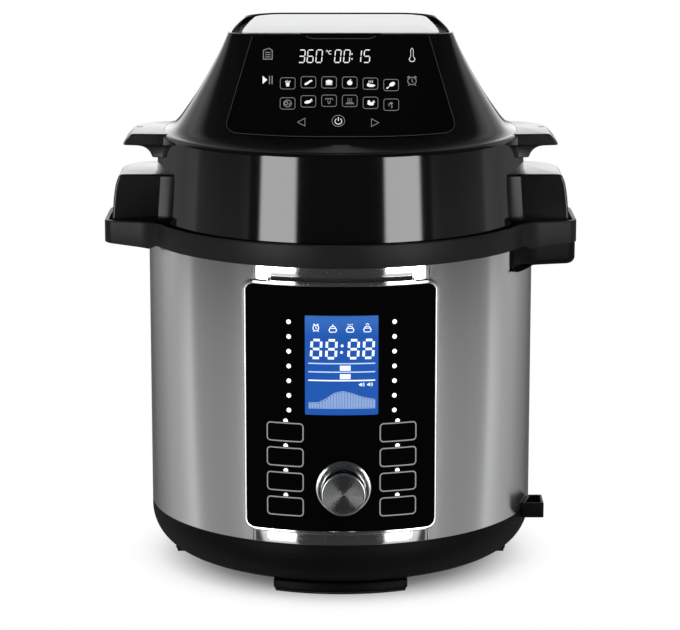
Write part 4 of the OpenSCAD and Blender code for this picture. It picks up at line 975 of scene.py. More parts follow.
@dataclass
class UpperRing:
    """The black ring with the lid's channel and its two wings."""

    wall: float = 3.0
    height: float = 15.9
    edge: float = 0.9
    inner_edge: float = 0.5
    deck_drop: float = 5.5
    deck_round: float = 0.6
    ledge_drop: float = 4.0
    ledge_r: float = 119.5
    bore: float = 116.2
    foot_drop: float = 6.0
    lip_r: float = 136.6
    lip_wall: float = 3.0
    lip_drop: float = 7.0
    wing_y: float = 40.5
    reach: float = 167.5
    rear_y: float = 34.0
    slant: float = 14.0
    fillet: float = 26.0
    corner: float = 8.0
    rear_corner: float = 30.0
    under: float = 2.9
    under_run: float = 32.0
    under_gap: float = 0.6
    under_start: float = 2.5
    pin_y: float = 9.0
    housing_rise: float = 1.6
    housing_round: float = 5.0
    housing_in: float = 0.8
    housing_gap: float = 1.6

    def plan(self, r: float, x: float) -> Array:
        """Outline of a circle with a tab to each side that widens towards it, joined by fillets.

        Each slanted side is a straight line at a fixed distance from the axis, along its
        own normal. A fillet's centre lies where its distance to the circle and to that
        line both equal its radius.

        Args:
            r: Radius of the circle.
            x: Reach of the tabs.

        Returns:
            Counter-clockwise outline from the middle of the right tab.
        """
        def quarter(wing_y: float, c: float) -> Array:
            """A quarter of the outline, from the tab's middle to the circle's top."""
            a, f = math.radians(self.slant), self.fillet
            side = x * math.sin(a) + wing_y * math.cos(a)
            reach = math.sqrt((r + f) ** 2 - (side + f) ** 2)
            cx = math.sin(a) * (side + f) + math.cos(a) * reach
            cy = math.cos(a) * (side + f) - math.sin(a) * reach
            touch = math.degrees(math.atan2(cy, cx))
            tip_y = (side - c - math.sin(a) * (x - c)) / math.cos(a)
            end = coords(np.full(6, x), np.linspace(0, tip_y, 7)[:-1])
            tip = arc(x - c, tip_y, c, 0, 90 - self.slant, 8)
            hollow = arc(cx, cy, f, 270 - self.slant, 180 + touch, 10)
            flank = tip[-1] + (hollow[0] - tip[-1]) * np.linspace(0, 1, 7)[1:-1, None]
            return np.concatenate([end, tip, flank, hollow, arc(0, 0, r, touch, 90, 44)[1:]])

        rear = quarter(self.rear_y, self.rear_corner)
        front = quarter(self.wing_y, self.corner) * [1, -1]
        return np.concatenate([rear, (rear * [-1, 1])[::-1][1:], (front * [-1, 1])[1:],
                               front[::-1][1:-1]])

    def build(self) -> None:
        """Makes the ring as one closed skin of rows that run round it."""
        hi = node_box("upper_ring")[1]
        r, z1 = hi[1], hi[2]
        z0, x, deck = z1 - self.height, self.reach, z1 - self.deck_drop
        outline = self.plan(r, x)
        angle = np.arctan2(outline[:, 1], outline[:, 0])

        def circle(radius: float, z: float) -> Array:
            """A row on a circle, each point on the same ray as the outline's."""
            return polar(radius, angle, z)[None]

        e, f, g = self.edge, self.inner_edge, self.deck_round
        profile = np.concatenate([arc(-e, z0 + e, e, -90, 0, 4), arc(-e, z1 - e, e, 0, 90, 4),
                                  arc(-self.wall + f, z1 - f, f, 90, 180, 3),
                                  arc(-self.wall - g, deck + g, g, 0, -90, 3)])
        outer = carried(outline, profile)
        far = np.linalg.norm(outer[..., :2], axis=-1)
        share = (np.clip((x - np.abs(outer[..., 0])) / self.under_run, 0, 1)
                 * np.clip((far - r - self.under_gap) / self.under_start, 0, 1))
        outer[..., 2] -= self.under * share * (profile[:, 1] < z0 + 1.5)[:, None]
        ledge, foot = deck - self.ledge_drop, deck - self.foot_drop
        inner = self.lip_r - self.lip_wall
        line = ((self.ledge_r + 0.4, deck), (self.ledge_r, deck - 0.4), (self.ledge_r, ledge),
                (self.bore, ledge), (self.bore, foot), (inner, foot), (inner, z0 - self.lip_drop),
                (self.lip_r, z0 - self.lip_drop))
        grid = np.concatenate([circle(self.lip_r, z0), outer, *(circle(*row) for row in line)])
        ring = grid_piece("upper_ring_moulding", grid, close_rows=True, close_cols=True,
                          crease=32.0)
        settle(ring, "base", Finishes.ring, ["upper_ring"])
        self.pin_sockets(deck)
        self.housing(r, x)

    def housing(self, r: float, x: float) -> None:
        """The housing under the right wing: the wing's outline outside the body, rounded below."""
        lo, hi = node_box("socket_housing")
        half = hi[1]
        line = self.plan(r, x)
        line = line[(line[:, 0] > 0) & (np.abs(line[:, 1]) < float(half))]
        line = line[np.argsort(line[:, 1])]
        line = np.concatenate([[[self.cut_x(line[0, 1], r, x), -half]], line,
                               [[self.cut_x(line[-1, 1], r, x), half]]])
        back_r = self.lip_r + self.housing_gap
        turn = math.degrees(math.asin(half / back_r))
        outline = np.concatenate([line - [self.housing_in, 0.0],
                                  arc(0, 0, back_r, turn, -turn, 24)])
        box = slab("socket_housing_moulding", outline, lo[2] + self.housing_rise,
                   hi[2] + 0.4, 0.3, self.housing_round, 6)
        settle(box, "base", Finishes.shell, ["socket_housing"])

    def cut_x(self, y: float, r: float, x: float) -> float:
        """X of the outline near a given Y on the right."""
        line = self.plan(r, x)
        line = line[line[:, 0] > r / 2]
        return float(line[np.argmin(np.abs(line[:, 1] - y)), 0])

    def pin_sockets(self, deck: float) -> None:
        """Three small funnels in the right wing's deck, where the lid's pins go in: dark raised
        rings on the uncut deck, painted shade of the hollows.
        """
        lo, hi = node_box("plug_pins")
        x = (lo[0] + hi[0]) / 2
        profile = np.array([[2.3, deck + 0.02], [2.4, deck + 0.35], [3.3, deck + 0.35],
                            [3.7, deck + 0.05]])[::-1]
        rings = [lathe(profile, 20) + [x, y, 0] for y in (-self.pin_y, 0.0, self.pin_y)]
        parts = [grid_piece(f"pin_socket_{k}", g, close_cols=True) for k, g in enumerate(rings)]
        settle(join("pin_sockets", parts), "base", Finishes.seam)


# ---------- control panel ----------


@dataclass
class ControlPanel:
    """Frame, glass, display, lights, keys and their print, all bent round the body."""

    face_r: float = 142.2
    print_x: float = 0.7
    frame_w: float = 2.5
    frame_depth: float = 4.5
    corner: float = 8.0
    lamp_x: float = 36.0
    lamp_rise: float = 0.35
    key_x: float = 38.8
    key_sink: float = 0.1
    key_wall: float = 3.0
    key_depth: float = 3.2
    key_edge: float = 0.45
    key_lamp_r: float = 1.62
    key_lamp_in: float = 0.6
    key_w: float = 26.7
    key_h: float = 13.8
    key_corner: float = 2.4
    light_r: float = 1.6
    line: float = 0.85

    def on_glass(self, flat: Array, lift: float = 0.04) -> Array:
        """Lays points (x, z) on the glass: y = -sqrt(radius squared - x squared)."""
        r = self.face_r + lift
        return coords(flat[:, 0], -np.sqrt(r * r - flat[:, 0] ** 2), flat[:, 1])

    def build(self) -> None:
        """Builds the whole panel."""
        self.frame()
        dress_node("panel_glass", Finishes.panel)
        dress_node("control_housing", Finishes.shell)
        self.lights()
        self.display()
        for side in (-1, 1):
            for place in range(1, 5):
                self.key(side, place)

    def frame(self) -> None:
        """The chrome frame: a rounded bead round the panel's outline, bent round the body."""
        lo, hi = node_box("panel_frame")
        w, h = hi[0] - lo[0], hi[2] - lo[2]
        outer = -lo[1]
        mid = (hi[2] + lo[2]) / 2
        outline = rounded_rectangle(w, h, self.corner, 10, 24)
        n = outline_normals(outline)
        w, d = self.frame_w, self.frame_depth
        section = np.array([[-w, -d], [0.0, -d], [0.0, 0.0], [-w, 0.0]])
        profile = rounded_corners(section, [0.0, 0.0, 0.75, 0.55], 4)
        flat = outline[None] + profile[:, None, :1] * n[None]
        r = outer + profile[:, None, 1] + 0 * flat[..., 0]
        grid = coords(flat[..., 0], -np.sqrt(r * r - flat[..., 0] ** 2), flat[..., 1] + mid)
        frame_piece = grid_piece("chrome_frame", grid, close_rows=True, close_cols=True)
        settle(frame_piece, "base", Finishes.chrome, ["panel_frame"])

    def lights(self) -> None:
        """Fourteen lamp lenses: low domes, height = rise * (1 - (distance / radius) squared)."""
        lo, hi = node_box("indicator_lenses")
        top, low = hi[2] - self.light_r, lo[2] + self.light_r
        a = 2 * np.pi * np.arange(24) / 24
        s = np.linspace(1, 0, 6)[:, None]
        parts = []
        for side in (-1, 1):
            turn = math.asin((self.print_x + side * self.lamp_x) / self.face_r)
            for k, z in enumerate(np.linspace(low, top, 7)):
                u, v = self.light_r * s * np.cos(a), self.light_r * s * np.sin(a)
                r = self.face_r - 0.1 + self.lamp_rise * (1 - s * s) + 0 * u
                body = beside_ray(r, u, v + z, turn)
                parts.append(grid_piece(f"lens_{side}_{k}", body, close_cols=True))
        settle(join("lamp_lenses", parts), "base", Finishes.white,
               ["indicator_lenses"])

    def display(self) -> None:
        """Dresses the display's window and lays its pictograms, digits and graph on it."""
        dress_node("lcd_module", Finishes.lcd)
        lo, hi = node_box("lcd_module")
        x0, z1 = lo[0], hi[2]
        for name, art, finish in DisplayArt().sheets():
            piece = art.piece(name, lambda flat: self.on_glass(flat * [1, -1] + [x0, z1], 0.02))
            piece.data.flip_normals()
            settle(piece, "base", finish)

    def key(self, side: int, place: int) -> None:
        """One key cap with its printed outline, and the lamp above it.

        The cap's rows shrink from the rounded rectangle to its middle, and each
        point's distance from the axis is the panel's radius less the edge's rounding.

        Args:
            side: -1 on the left and 1 on the right.
            place: 1 for the top key and 4 for the lowest.
        """
        name = f"key_{'left' if side < 0 else 'right'}_{place}"
        lo, hi = node_box(name)
        z = (lo[2] + hi[2]) / 2
        r0 = self.face_r - self.key_sink
        turn = math.asin((self.print_x + side * self.key_x) / r0)
        outline = rounded_rectangle(self.key_w, self.key_h, self.key_corner, 6, 8)
        n = outline_normals(outline)
        e, d = self.key_edge, self.key_depth
        profile = np.concatenate([[[-self.key_wall, -d], [0.0, -d]], arc(-e, -e, e, 0, 90, 3)])
        rim = outline[None] + profile[:, None, :1] * n[None]
        inner = rim[-1][None] * np.linspace(1, 0, 8)[1:, None, None]
        flat = np.concatenate([rim, inner])
        depth = np.concatenate([profile[:, 1], np.zeros(7)])[:, None]

        def bend(points: Array, drop: Array) -> Array:
            """Lays points of the key's own plane round the axis: along its radius to the face."""
            out = np.sqrt(r0 * r0 - points[..., 0] ** 2) + drop
            return beside_ray(out, points[..., 0], points[..., 1] + z, turn)

        cap = grid_piece(name + "_cap", bend(flat, depth), close_cols=True)
        settle(cap, name, Finishes.panel, [name])
        art = Artwork()
        art.stroke(rounded_rectangle(self.key_w - self.line - 0.3, self.key_h - self.line - 0.3,
                                     self.key_corner, 8), self.line, closed=True)
        printed = art.piece(name + "_outline", lambda p: bend(p, np.full(len(p), 0.03)))
        settle(printed, name, Finishes.outline)
        lamp, top, r = Artwork(), self.key_h / 2, self.key_lamp_r
        a = 2 * np.pi * np.arange(32) / 32
        rim_z = np.maximum(top + 1.0 + r * np.sin(a), top + 0.34)
        lamp.add(coords(self.key_lamp_in * -side + r * np.cos(a), rim_z), [list(range(32))])
        spot = lamp.piece(name + "_lamp", lambda p: bend(p, np.full(len(p), 0.14)))
        settle(spot, "base", Finishes.white)


class DisplayArt:
    """What the display shows, in millimetres from its upper left corner."""

    left, right = 2.3, 47.8
    digit = (8.1, 14.1, 1.7)

    def sheets(self) -> list[tuple[str, Artwork, Finish]]:
        """The display's shapes by shade: white, pale and graph bars."""
        white, pale, bars = Artwork(), Artwork(), Artwork()
        self.clock(white, 7.5, 8.0)
        for x, lid in ((19.0, 0), (30.7, 1), (42.4, 2)):
            self.pot_sign(white, x, 8.3, lid)
        for x in (3.3, 13.6, 28.7, 38.9):
            draw_digit_down(white, x, 30.0, *self.digit)
        for x, y in ((25.3, 20.6), (24.9, 25.1)):
            white.disc(x, y, 0.95)
        for y, art in ((33.0, pale), (38.9, pale), (44.8, white)):
            art.bar(self.left, self.right, y - 0.42, y + 0.42)
        for y in (36.1, 42.05):
            white.bar(23.8, 31.0, y - 1.7, y + 1.7)
        for x in (38.7, 44.3):
            self.speaker(white, x, 47.7)
        self.graph(bars)
        return [("display_white_print", white, Finishes.lcd_white),
                ("display_pale_print", pale, Finishes.lcd_pale),
                ("display_graph", bars, Finishes.lcd_bars)]

    def clock(self, art: Artwork, x: float, y: float) -> None:
        """An alarm clock: a ring with two hands, two bells and two feet."""
        art.ring(x, y + 0.4, 1.95, 0.55)
        art.stroke([(x, y - 0.8), (x, y + 0.5), (x + 0.9, y + 0.9)], 0.45)
        for s in (-1, 1):
            art.ring(x, y + 0.4, 2.75, 0.6, *((-130, -105) if s < 0 else (-75, -50)))
            art.stroke([(x + s * 1.3, y + 2.3), (x + s * 1.9, y + 2.95)], 0.5)

    def pot_sign(self, art: Artwork, x: float, y: float, lid: int) -> None:
        """A small pot with a rounded lid and, for each kind, its own mark above."""
        art.stroke(rounded_rectangle(4.6, 2.6, 0.7, 4) + [x, y + 1.5], 0.5, closed=True)
        art.ring(x, y + 0.3, 2.0, 0.5, 195, 345, stretch=0.75)
        if lid == 0:
            art.disc(x, y - 2.0, 0.5)
        elif lid == 1:
            for s in (-1, 0, 1):
                art.stroke([(x + s * 1.4, y - 2.0), (x + s * 1.4, y - 2.9)], 0.5)
        else:
            art.stroke([(x - 1.2, y - 2.3), (x, y - 2.9), (x + 1.2, y - 2.3)], 0.5)
        for s in (-1, 1):
            art.stroke([(x + s * 2.3, y + 1.2), (x + s * 2.95, y + 1.2)], 0.5)

    def speaker(self, art: Artwork, x: float, y: float) -> None:
        """A loudspeaker with two waves."""
        art.fill([(x - 1.9, y - 0.5), (x - 1.1, y - 0.5), (x - 1.1, y + 0.5), (x - 1.9, y + 0.5)])
        art.fill([(x - 1.1, y - 0.5), (x - 0.1, y - 1.35), (x - 0.1, y + 1.35), (x - 1.1, y + 0.5)])
        art.ring(x - 0.2, y, 1.0, 0.35, -50, 50)
        art.ring(x - 0.2, y, 1.8, 0.35, -50, 50)

    def graph(self, art: Artwork) -> None:
        """The pressure curve over time, as narrow bars that stand on one line.

        Height of the curve: a low start, a rise to the peak, and a long fall.
        """
        foot = 63.9
        x = np.arange(2.5, 47.6, 1.9)
        top = np.interp(x, [0, 8.5, 14, 19, 24.8, 31, 37.7, 47.5],
                        [60.5, 60.3, 57.3, 53.6, 52.2, 53.7, 56.3, 58.5])
        for left, y in zip(x, top):
            art.bar(left, left + 1.65, y + 0.5, foot)
        edge = np.linspace(self.left, self.right, 40)
        line = np.interp(edge, x + 0.8, top)
        art.stroke(coords(edge, line), 0.55)
        art.bar(self.left, self.right, foot + 0.1, foot + 0.6)


def draw_digit_down(art: Artwork, x: float, foot: float, w: float, h: float, width: float) -> None:
    """An eight in display coordinates, where y grows downwards from the upper edge."""
    upright = Artwork()
    draw_digit(upright, 0.0, 0.0, w, h, width, Segments.EIGHT, 0.05)
    points = np.concatenate(upright.points) * [1, -1] + [x, foot]
    art.add(points, upright.faces)


# ---------- knob ----------


@dataclass
class Knob:
    """The turned knob, its spun face and the collar round its foot."""

    x: float = 2.0
    collar_r: float = 19.0
    collar_out: float = 145.6
    foot_r: float = 16.3
    head_r: float = 14.9
    foot_out: float = 142.6
    face_out: float = 163.0
    face_in: float = 1.7
    face_drop: float = 0.25
    dish: float = 0.3

    def turned(self, name: str, profile: Array, z: float, steps: int = 120) -> bpy.types.Object:
        """Lathes a profile of (radius, distance from the cooker's axis) about the knob's axis."""
        grid = facing_front(lathe(profile, steps), self.x, z)
        uv = lathe_uv(profile, steps)
        return grid_piece(name, grid, close_cols=True, uv=uv, crease=30.0)

    def build(self) -> None:
        """Makes the collar, the knob's body and its face."""
        lo, hi = node_box("knob")
        z = (lo[2] + hi[2]) / 2
        c, out = self.collar_r, self.collar_out
        collar = np.concatenate([[[c, out - 5.0]], arc(c - 1.3, out - 1.3, 1.3, 0, 90, 7),
                                 arc(c - 1.6, out - 0.4, 0.4, 90, 180, 3),
                                 [[c - 2.0, out - 3.6], [8.5, out - 3.6]]])
        settle(self.turned("knob_collar_ring", collar, z), "base", Finishes.chrome,
               ["knob_collar"])
        f, h, top = self.foot_r, self.head_r, self.face_out
        side = np.concatenate([[[3.2, self.foot_out], [f - 0.5, self.foot_out]],
                               arc(f - 0.4, self.foot_out + 0.4, 0.4, -90, 0, 3),
                               arc(h - 0.7, top - 0.7, 0.7, 4, 90, 5),
                               [[h - 1.5, top], [h - self.face_in, top - self.face_drop]]])
        settle(self.turned("knob_body", side, z), "knob", Finishes.knob_side,
               ["knob"])
        s = np.linspace(1, 0, 14)
        r = (h - self.face_in) * s
        face = coords(r, top - self.face_drop - self.dish * (1 - s * s))
        settle(self.turned("knob_face", face, z), "knob", Finishes.knob_face)


# ---------- lid ----------


@dataclass
class DomeShape:
    """The dome's surface: rounded rectangles that shrink from the shoulder to the top edge."""

    foot: float = 127.5
    side_foot: float = 125.2
    top_x: float = 77.7
    top_front: float = 75.0
    top_rear: float = 75.5
    corner_front: float = 14.0
    corner_rear: float = 30.0
    narrowing: float = 0.12
    flare_height: float = 0.076
    flare_height_side: float = 0.033
    flare_front: float = 5.5
    flare_side: float = 5.0
    power_side: float = 1.177
    power_front: float = 1.16
    power_corner: float = 1.1
    narrow_from: float = -50.0
    narrow_run: float = 125.0
    z0: float = 313.6
    height: float = 74.9

    def fall(self, t: Array, foot: float, head: float, power: float, flare: float,
             decay: float) -> Array:
        """Half-width at a share t of the height.

        head + (foot - head - flare) * (1 - t) to a power, plus the flare, which dies away as
        exp(-t / decay).
        """
        straight = (foot - head - flare) * np.maximum(0, 1 - t) ** power
        return head + straight + flare * np.exp(-t / decay)

    def side(self, t: Array) -> Array:
        """Half-width from side to side."""
        return self.fall(t, self.side_foot, self.top_x, self.power_side, self.flare_side,
                         self.flare_height_side)

    def front(self, t: Array) -> Array:
        """Distance from the axis to the front."""
        return self.fall(t, self.foot, self.top_front, self.power_front, self.flare_front,
                         self.flare_height)

    def rear(self, t: Array) -> Array:
        """Distance from the axis to the rear."""
        return self.fall(t, self.side_foot, self.top_rear, self.power_side, self.flare_side,
                         self.flare_height_side)

    def corner(self, t: Array, reach: Array, tip: float) -> Array:
        """Corner radius: the whole half-width at the shoulder, the tip radius at the top."""
        share = np.maximum(0, 1 - t) ** self.power_corner
        return tip + (np.minimum(self.side(t), reach) - tip) * share

    def front_y(self, t: Array, x: Array, inset: float) -> Array:
        """Y of the dome's front: flat in the middle, and a quarter circle near each corner."""
        f, w = self.front(t) - inset, self.side(t) - inset
        r = np.minimum(np.minimum(self.corner(t, self.front(t), self.corner_front) - inset, w), f)
        dx = np.maximum(0, np.abs(x) - (w - r))
        return -(f - r) - np.sqrt(np.maximum(0, r * r - dx * dx))

    def rows(self, t: Array, inset: Array, z: Array, steps: int = 22, along: int = 10) -> Array:
        """Outlines at several shares of the height, each drawn further in by its inset.

        Args:
            t: Share of the height that gives each row its shape.
            inset: Distance inwards, for each row.
            z: Height of each row.
            steps: Number of pieces in each corner.
            along: Number of pieces in each side.

        Returns:
            Grid of points, rows by outline by three, counter-clockwise.
        """
        x, f, b = self.side(t) - inset, self.front(t) - inset, self.rear(t) - inset
        front = self.corner(t, self.front(t), self.corner_front) - inset
        rear = self.corner(t, self.rear(t), self.corner_rear) - inset
        rf = np.maximum(1, np.minimum.reduce([front, x, f]))
        rb = np.maximum(1, np.minimum.reduce([rear, x, b]))
        parts = []
        for k, (sx, sy, r) in enumerate([(1, 1, rb), (-1, 1, rb), (-1, -1, rf), (1, -1, rf)]):
            a = np.radians(k * 90 + 90 * np.linspace(0, 1, steps + 1))[None]
            cx, cy = sx * (x - r), (b - r if sy > 0 else -(f - r))
            cx, cy, r = cx[:, None], cy[:, None], r[:, None]
            parts.append(coords(cx + r * np.cos(a), cy + r * np.sin(a)))
        share = np.linspace(0, 1, along + 1)[1:-1][None, :, None]
        ring = []
        for k in range(4):
            here, there = parts[k][:, -1:], parts[(k + 1) % 4][:, :1]
            ring += [parts[k], here * (1 - share) + there * share]
        flat = np.concatenate(ring, axis=1)
        behind = (np.maximum(0, flat[..., 1] - self.narrow_from) / self.narrow_run) ** 1.5
        flat[..., 0] *= 1 - self.narrowing * t[:, None] * behind
        return np.concatenate([flat, np.broadcast_to(z[:, None, None], (*flat.shape[:2], 1))],
                              axis=-1)

    def at(self, t: Array) -> Array:
        """Height of a share t."""
        return self.z0 + self.height * t


@dataclass
class Lid:
    """The lid's outside: dome, top plate, touch panel, handles and side blocks."""

    shape: DomeShape = field(default_factory=DomeShape)
    wall: float = 2.5
    lip: float = 1.2
    shoulder: float = 4.0
    skirt_top_r: float = 130.06
    skirt_foot_r: float = 134.4
    skirt_z0: float = 247.6
    skirt_z1: float = 309.4
    skirt_in_r: float = 129.6
    skirt_edge: float = 0.5
    slot_at: float = 26.0
    slot_half: float = 0.75
    slot_rise: float = 6.0
    tab_root: float = 120.5
    block_edge: float = 2.0
    handle_edge: float = 0.9
    plate_in: float = 9.5
    panel_t0: float = 0.13
    panel_t1: float = 0.985
    panel_x0: float = 80.4
    panel_x1: float = 61.0
    panel_round: float = 7.0
    panel_seat: float = 0.3
    panel_t: float = 1.2
    notch_x0: float = -27.0
    notch_x1: float = 28.0
    notch_z0: float = 385.6

    def build(self) -> None:
        """Builds and dresses the whole lid."""
        self.dome()
        self.plate()
        self.touch_panel()
        self.notch()
        self.handles()
        self.blocks()
        self.sleeve()
        dress_node("lid_skirt", Finishes.gloss)
        dress_node("vent_frame", Finishes.shell)

    def dome(self) -> None:
        """The dome as one closed skin: outside up, over the rounded lip, and down the inside."""
        s, e = self.shape, self.lip
        t = np.linspace(0, 1, 60) ** 1.5
        top = s.z0 + s.height - 0.05
        turn = np.radians(np.linspace(0, 90, 5))
        z_out = np.minimum(s.at(t), top - e)
        z = [z_out[:-1], top - e + e * np.sin(turn), top - e + e * np.sin(turn[::-1])]
        inset = [0 * z_out[:-1], e - e * np.cos(turn), self.wall - e + e * np.cos(turn[::-1])]
        share = [t[:-1], np.ones(5), np.ones(5)]
        back = np.linspace(0.985, 0, 24)
        grid = s.rows(np.concatenate([*share, back]),
                      np.concatenate([*inset, self.wall + 0 * back]),
                      np.concatenate([*z, s.at(back)]))
        skirt = node_box("lid_skirt")[1]
        r, top_z, turn_r = skirt[0], skirt[2], self.shoulder
        bend = arc(r - turn_r, top_z - turn_r, turn_r + 0.06, -4, 62, 7)
        out = grid[:1, :, :2] / np.linalg.norm(grid[:1, :, :2], axis=-1, keepdims=True)
        hem = np.concatenate([out * bend[:, None, :1], 0 * out[..., :1] + bend[:, None, 1:]],
                             axis=-1)
        grid = np.concatenate([hem, grid])
        dome = grid_piece("lid_dome_skin", grid, close_rows=True, close_cols=True, crease=50.0)
        settle(dome, "lid", Finishes.gloss, ["lid_dome"])

    def skirt_at(self, z: Array | float) -> Array | float:
        """Radius of the skirt's face, which widens evenly towards its foot."""
        share = (self.skirt_z1 - z) / (self.skirt_z1 - self.skirt_z0)
        return self.skirt_top_r + (self.skirt_foot_r - self.skirt_top_r) * share

    def sleeve(self) -> None:
        """The skirt's face: a slightly conical ring with a slot beside each side block."""
        slots = np.array([b + k for k in (-self.slot_at, self.slot_at) for b in (180, 360)])
        wide, step = self.slot_half + 0.01, 0.01
        sides = slots[:, None] + np.array([-wide, step - wide, wide - step, wide])
        a = np.unique(np.concatenate([np.linspace(0, 360, 181)[:-1], sides.ravel()]) % 360)
        from_side = np.abs(np.abs((a + 90) % 180 - 90) - self.slot_at)
        cut = from_side < self.slot_half + step / 2
        z_low = np.where(cut, self.skirt_z0 + self.slot_rise, self.skirt_z0)[None]
        share, e = np.linspace(0, 1, 14)[:, None], self.skirt_edge
        z_out = np.concatenate([z_low + 0 * share[:1],
                                z_low + e + (self.skirt_z1 - z_low - e) * share])
        r_out = self.skirt_at(z_out)
        r_out[0] -= e
        z = np.concatenate([z_low, z_out, 0 * z_low + self.skirt_z1])
        inner = 0 * z_low + self.skirt_in_r
        r = np.concatenate([inner, r_out, inner])
        ring = grid_piece("lid_skirt_face", polar(r, np.radians(a)[None], z), close_rows=True,
                          close_cols=True, crease=40.0)
        settle(ring, "lid", Finishes.gloss)

    def tab_pair(self, name: str, half: float, spread: float, front: float, rear: float,
                 rows: Sequence[tuple[float, float, float]], finish: Finish, node: str) -> None:
        """Makes a tab to each side of the skirt from rows of (height, reach, distance inwards).

        Each row's outline is a tab with its own front and rear corners, whose sides end
        inside the skirt, or under the shoulder where the skirt has turned in.

        Args:
            name: Name of the piece.
            half: Half-width of the tab.
            spread: How much wider the tab is at its root, to each side.
            front: Radius of the front corner.
            rear: Radius of the rear corner.
            rows: Height, reach and distance inwards of each row, from below.
            finish: The tab's finish.
            node: The solid that the piece stands for.
        """
        def outline(z: float, x: float, inset: float) -> Array:
            """One row: front root, front corner, rear corner and rear root."""
            r = self.skirt_at(z) - 2.2 if z < self.skirt_z1 else self.tab_root
            y = half + spread - inset

            def side(c: float) -> Array:
                """From the end to the root, on the rear side."""
                c = max(c - inset, 0.2)
                root = [[math.sqrt(r * r - y * y), y]]
                return np.concatenate([arc(x - inset - c, half - inset - c, c, 0, 90, 10), root])

            flat = np.concatenate([(side(front) * [1, -1])[::-1], side(rear)])
            return np.concatenate([flat, np.full((len(flat), 1), z)], axis=1)

        grid = np.stack([outline(*row) for row in rows])
        faces = closed_faces(*grid.shape[:2])
        right = make_piece(name, grid.reshape(-1, 3), faces, crease=35.0)
        left = make_piece(name + "_left", grid.reshape(-1, 3) * [-1, 1, 1],
                          [f[::-1] for f in faces], crease=35.0)
        settle(join(name, [right, left]), "lid", finish, [node])

    def rounded_top(self, z1: float, x: float, e: float,
                    count: int) -> list[tuple[float, float, float]]:
        """Rows of a tab's upper edge: a quarter circle of radius e that ends at height z1."""
        return [(z1 - e + e * math.sin(a), x - 0.9 * a, e - e * math.cos(a))
                for a in np.radians(np.linspace(0, 90, count))]

    def blocks(self) -> None:
        """The two side blocks: leaning ends, sharp in front and well rounded behind."""
        z0, z1 = (v[2] for v in node_box("side_blocks"))
        e = self.block_edge
        rows = [(z0 + 0.1, 162.4, 0.3), (z0 + 0.4, 162.4, 0.0), (258.0, 161.8, 0.0),
                (266.0, 161.1, 0.0), (272.0, 160.4, 0.0), (277.0, 159.5, 0.0), (280.5, 158.4, 0.0)]
        rows += self.rounded_top(z1, 157.6, e, 6)
        self.tab_pair("side_block_pair", 33.4, 0.4, 1.6, 27.0, rows, Finishes.holder, "side_blocks")

    def handles(self) -> None:
        """The two lid handles: a stepped underside that curves out to a slanted end."""
        z0, z1 = (v[2] for v in node_box("lid_handles"))
        e = self.handle_edge
        rows = [(z0, 133.0, 0.5), (z0 + 0.5, 133.3, 0.0), (299.5, 134.2, 0.0),
                (301.6, 135.6, 0.0), (303.4, 137.8, 0.0), (304.5, 140.2, 0.0), (305.1, 143.2, 0.0),
                (305.3, 147.0, 0.0), (305.4, 152.9, 0.4), (305.8, 153.6, 0.0), (307.2, 153.3, 0.0),
                (309.0, 152.0, 0.0), (310.6, 150.4, 0.0)]
        rows += self.rounded_top(z1, 148.6, e, 5)
        self.tab_pair("lid_handle_pair", 34.3, 2.0, 1.4, 30.0, rows, Finishes.holder, "lid_handles")
        # Dark rings round the pin holes on the handles' tops, which are not cut: painted shade of
        # the holes.
        hole = np.array([[1.3, z1 - 0.3], [1.5, z1 + 0.03], [2.3, z1 + 0.03], [2.5, z1 - 0.3]])
        x = node_box("lid_handles")[1][0] - 9.7
        rings = [grid_piece(f"handle_hole_{k}", lathe(hole[::-1], 18) + [k * x, 3.0, 0.0],
                            close_cols=True)
                 for k in (-1, 1)]
        settle(join("handle_pin_hole_shade", rings), "lid", Finishes.seam)

    def plate(self) -> None:
        """The top plate: the top edge's outline drawn inwards, with rounded edges."""
        lo, hi = node_box("top_plate")
        edge = self.shape.rows(np.ones(1), np.full(1, self.plate_in), np.zeros(1), 18, 8)
        plate = slab("top_plate_sheet", edge[0, :, :2], lo[2], hi[2], 0.5, 0.2)
        settle(plate, "lid", Finishes.top_plate, ["top_plate"])

    def half_width(self, t: Array, inset: float = 0.0) -> Array:
        """Half-width of the touch panel: it narrows upwards evenly, with rounded lower corners."""
        share = (t - self.panel_t0) / (self.panel_t1 - self.panel_t0)
        straight = self.panel_x0 + (self.panel_x1 - self.panel_x0) * share - inset
        r = self.panel_round
        rise = np.clip((t - self.panel_t0) * self.shape.height - inset, 0, r)
        return straight - (r - np.sqrt(np.maximum(0, r * r - (r - rise) ** 2)))

    def touch_panel(self) -> None:
        """The touch panel: a pad that follows the dome's front, with a rounded rim."""
        s = self.shape
        t0, t1 = self.panel_t0, self.panel_t1
        ease = (1 - np.cos(np.pi * np.linspace(0, 1, 40))) / 2
        rim = np.array([0.0, 0.0, 0.004])
        share_t = np.concatenate([rim, 0.004 + 0.992 * ease[1:-1], 1 - rim[::-1]])
        share_x = np.concatenate([rim, np.linspace(0.004, 0.996, 62)[1:-1], 1 - rim[::-1]])
        step = np.array([-self.panel_seat, 0.8 * self.panel_t, self.panel_t])
        up_t = np.concatenate([step, np.full(len(share_t) - 6, self.panel_t), step[::-1]])[:, None]
        up_x = np.concatenate([step, np.full(len(share_x) - 6, self.panel_t), step[::-1]])[None]
        t = (t0 + (t1 - t0) * share_t)[:, None]
        x = self.half_width(t) * (2 * share_x[None] - 1)
        y = s.front_y(t, x, -self.panel_seat) - np.minimum(up_t, up_x)
        grid = coords(x, y, s.at(t) + 0 * x)
        pad = grid_piece("touch_panel_pad", grid, crease=50.0)
        settle(pad, "lid", Finishes.panel, ["lid_panel"])
        for name, art, finish in TouchArt().sheets(self):
            settle(art.piece(name, self.on_panel), "lid", finish)

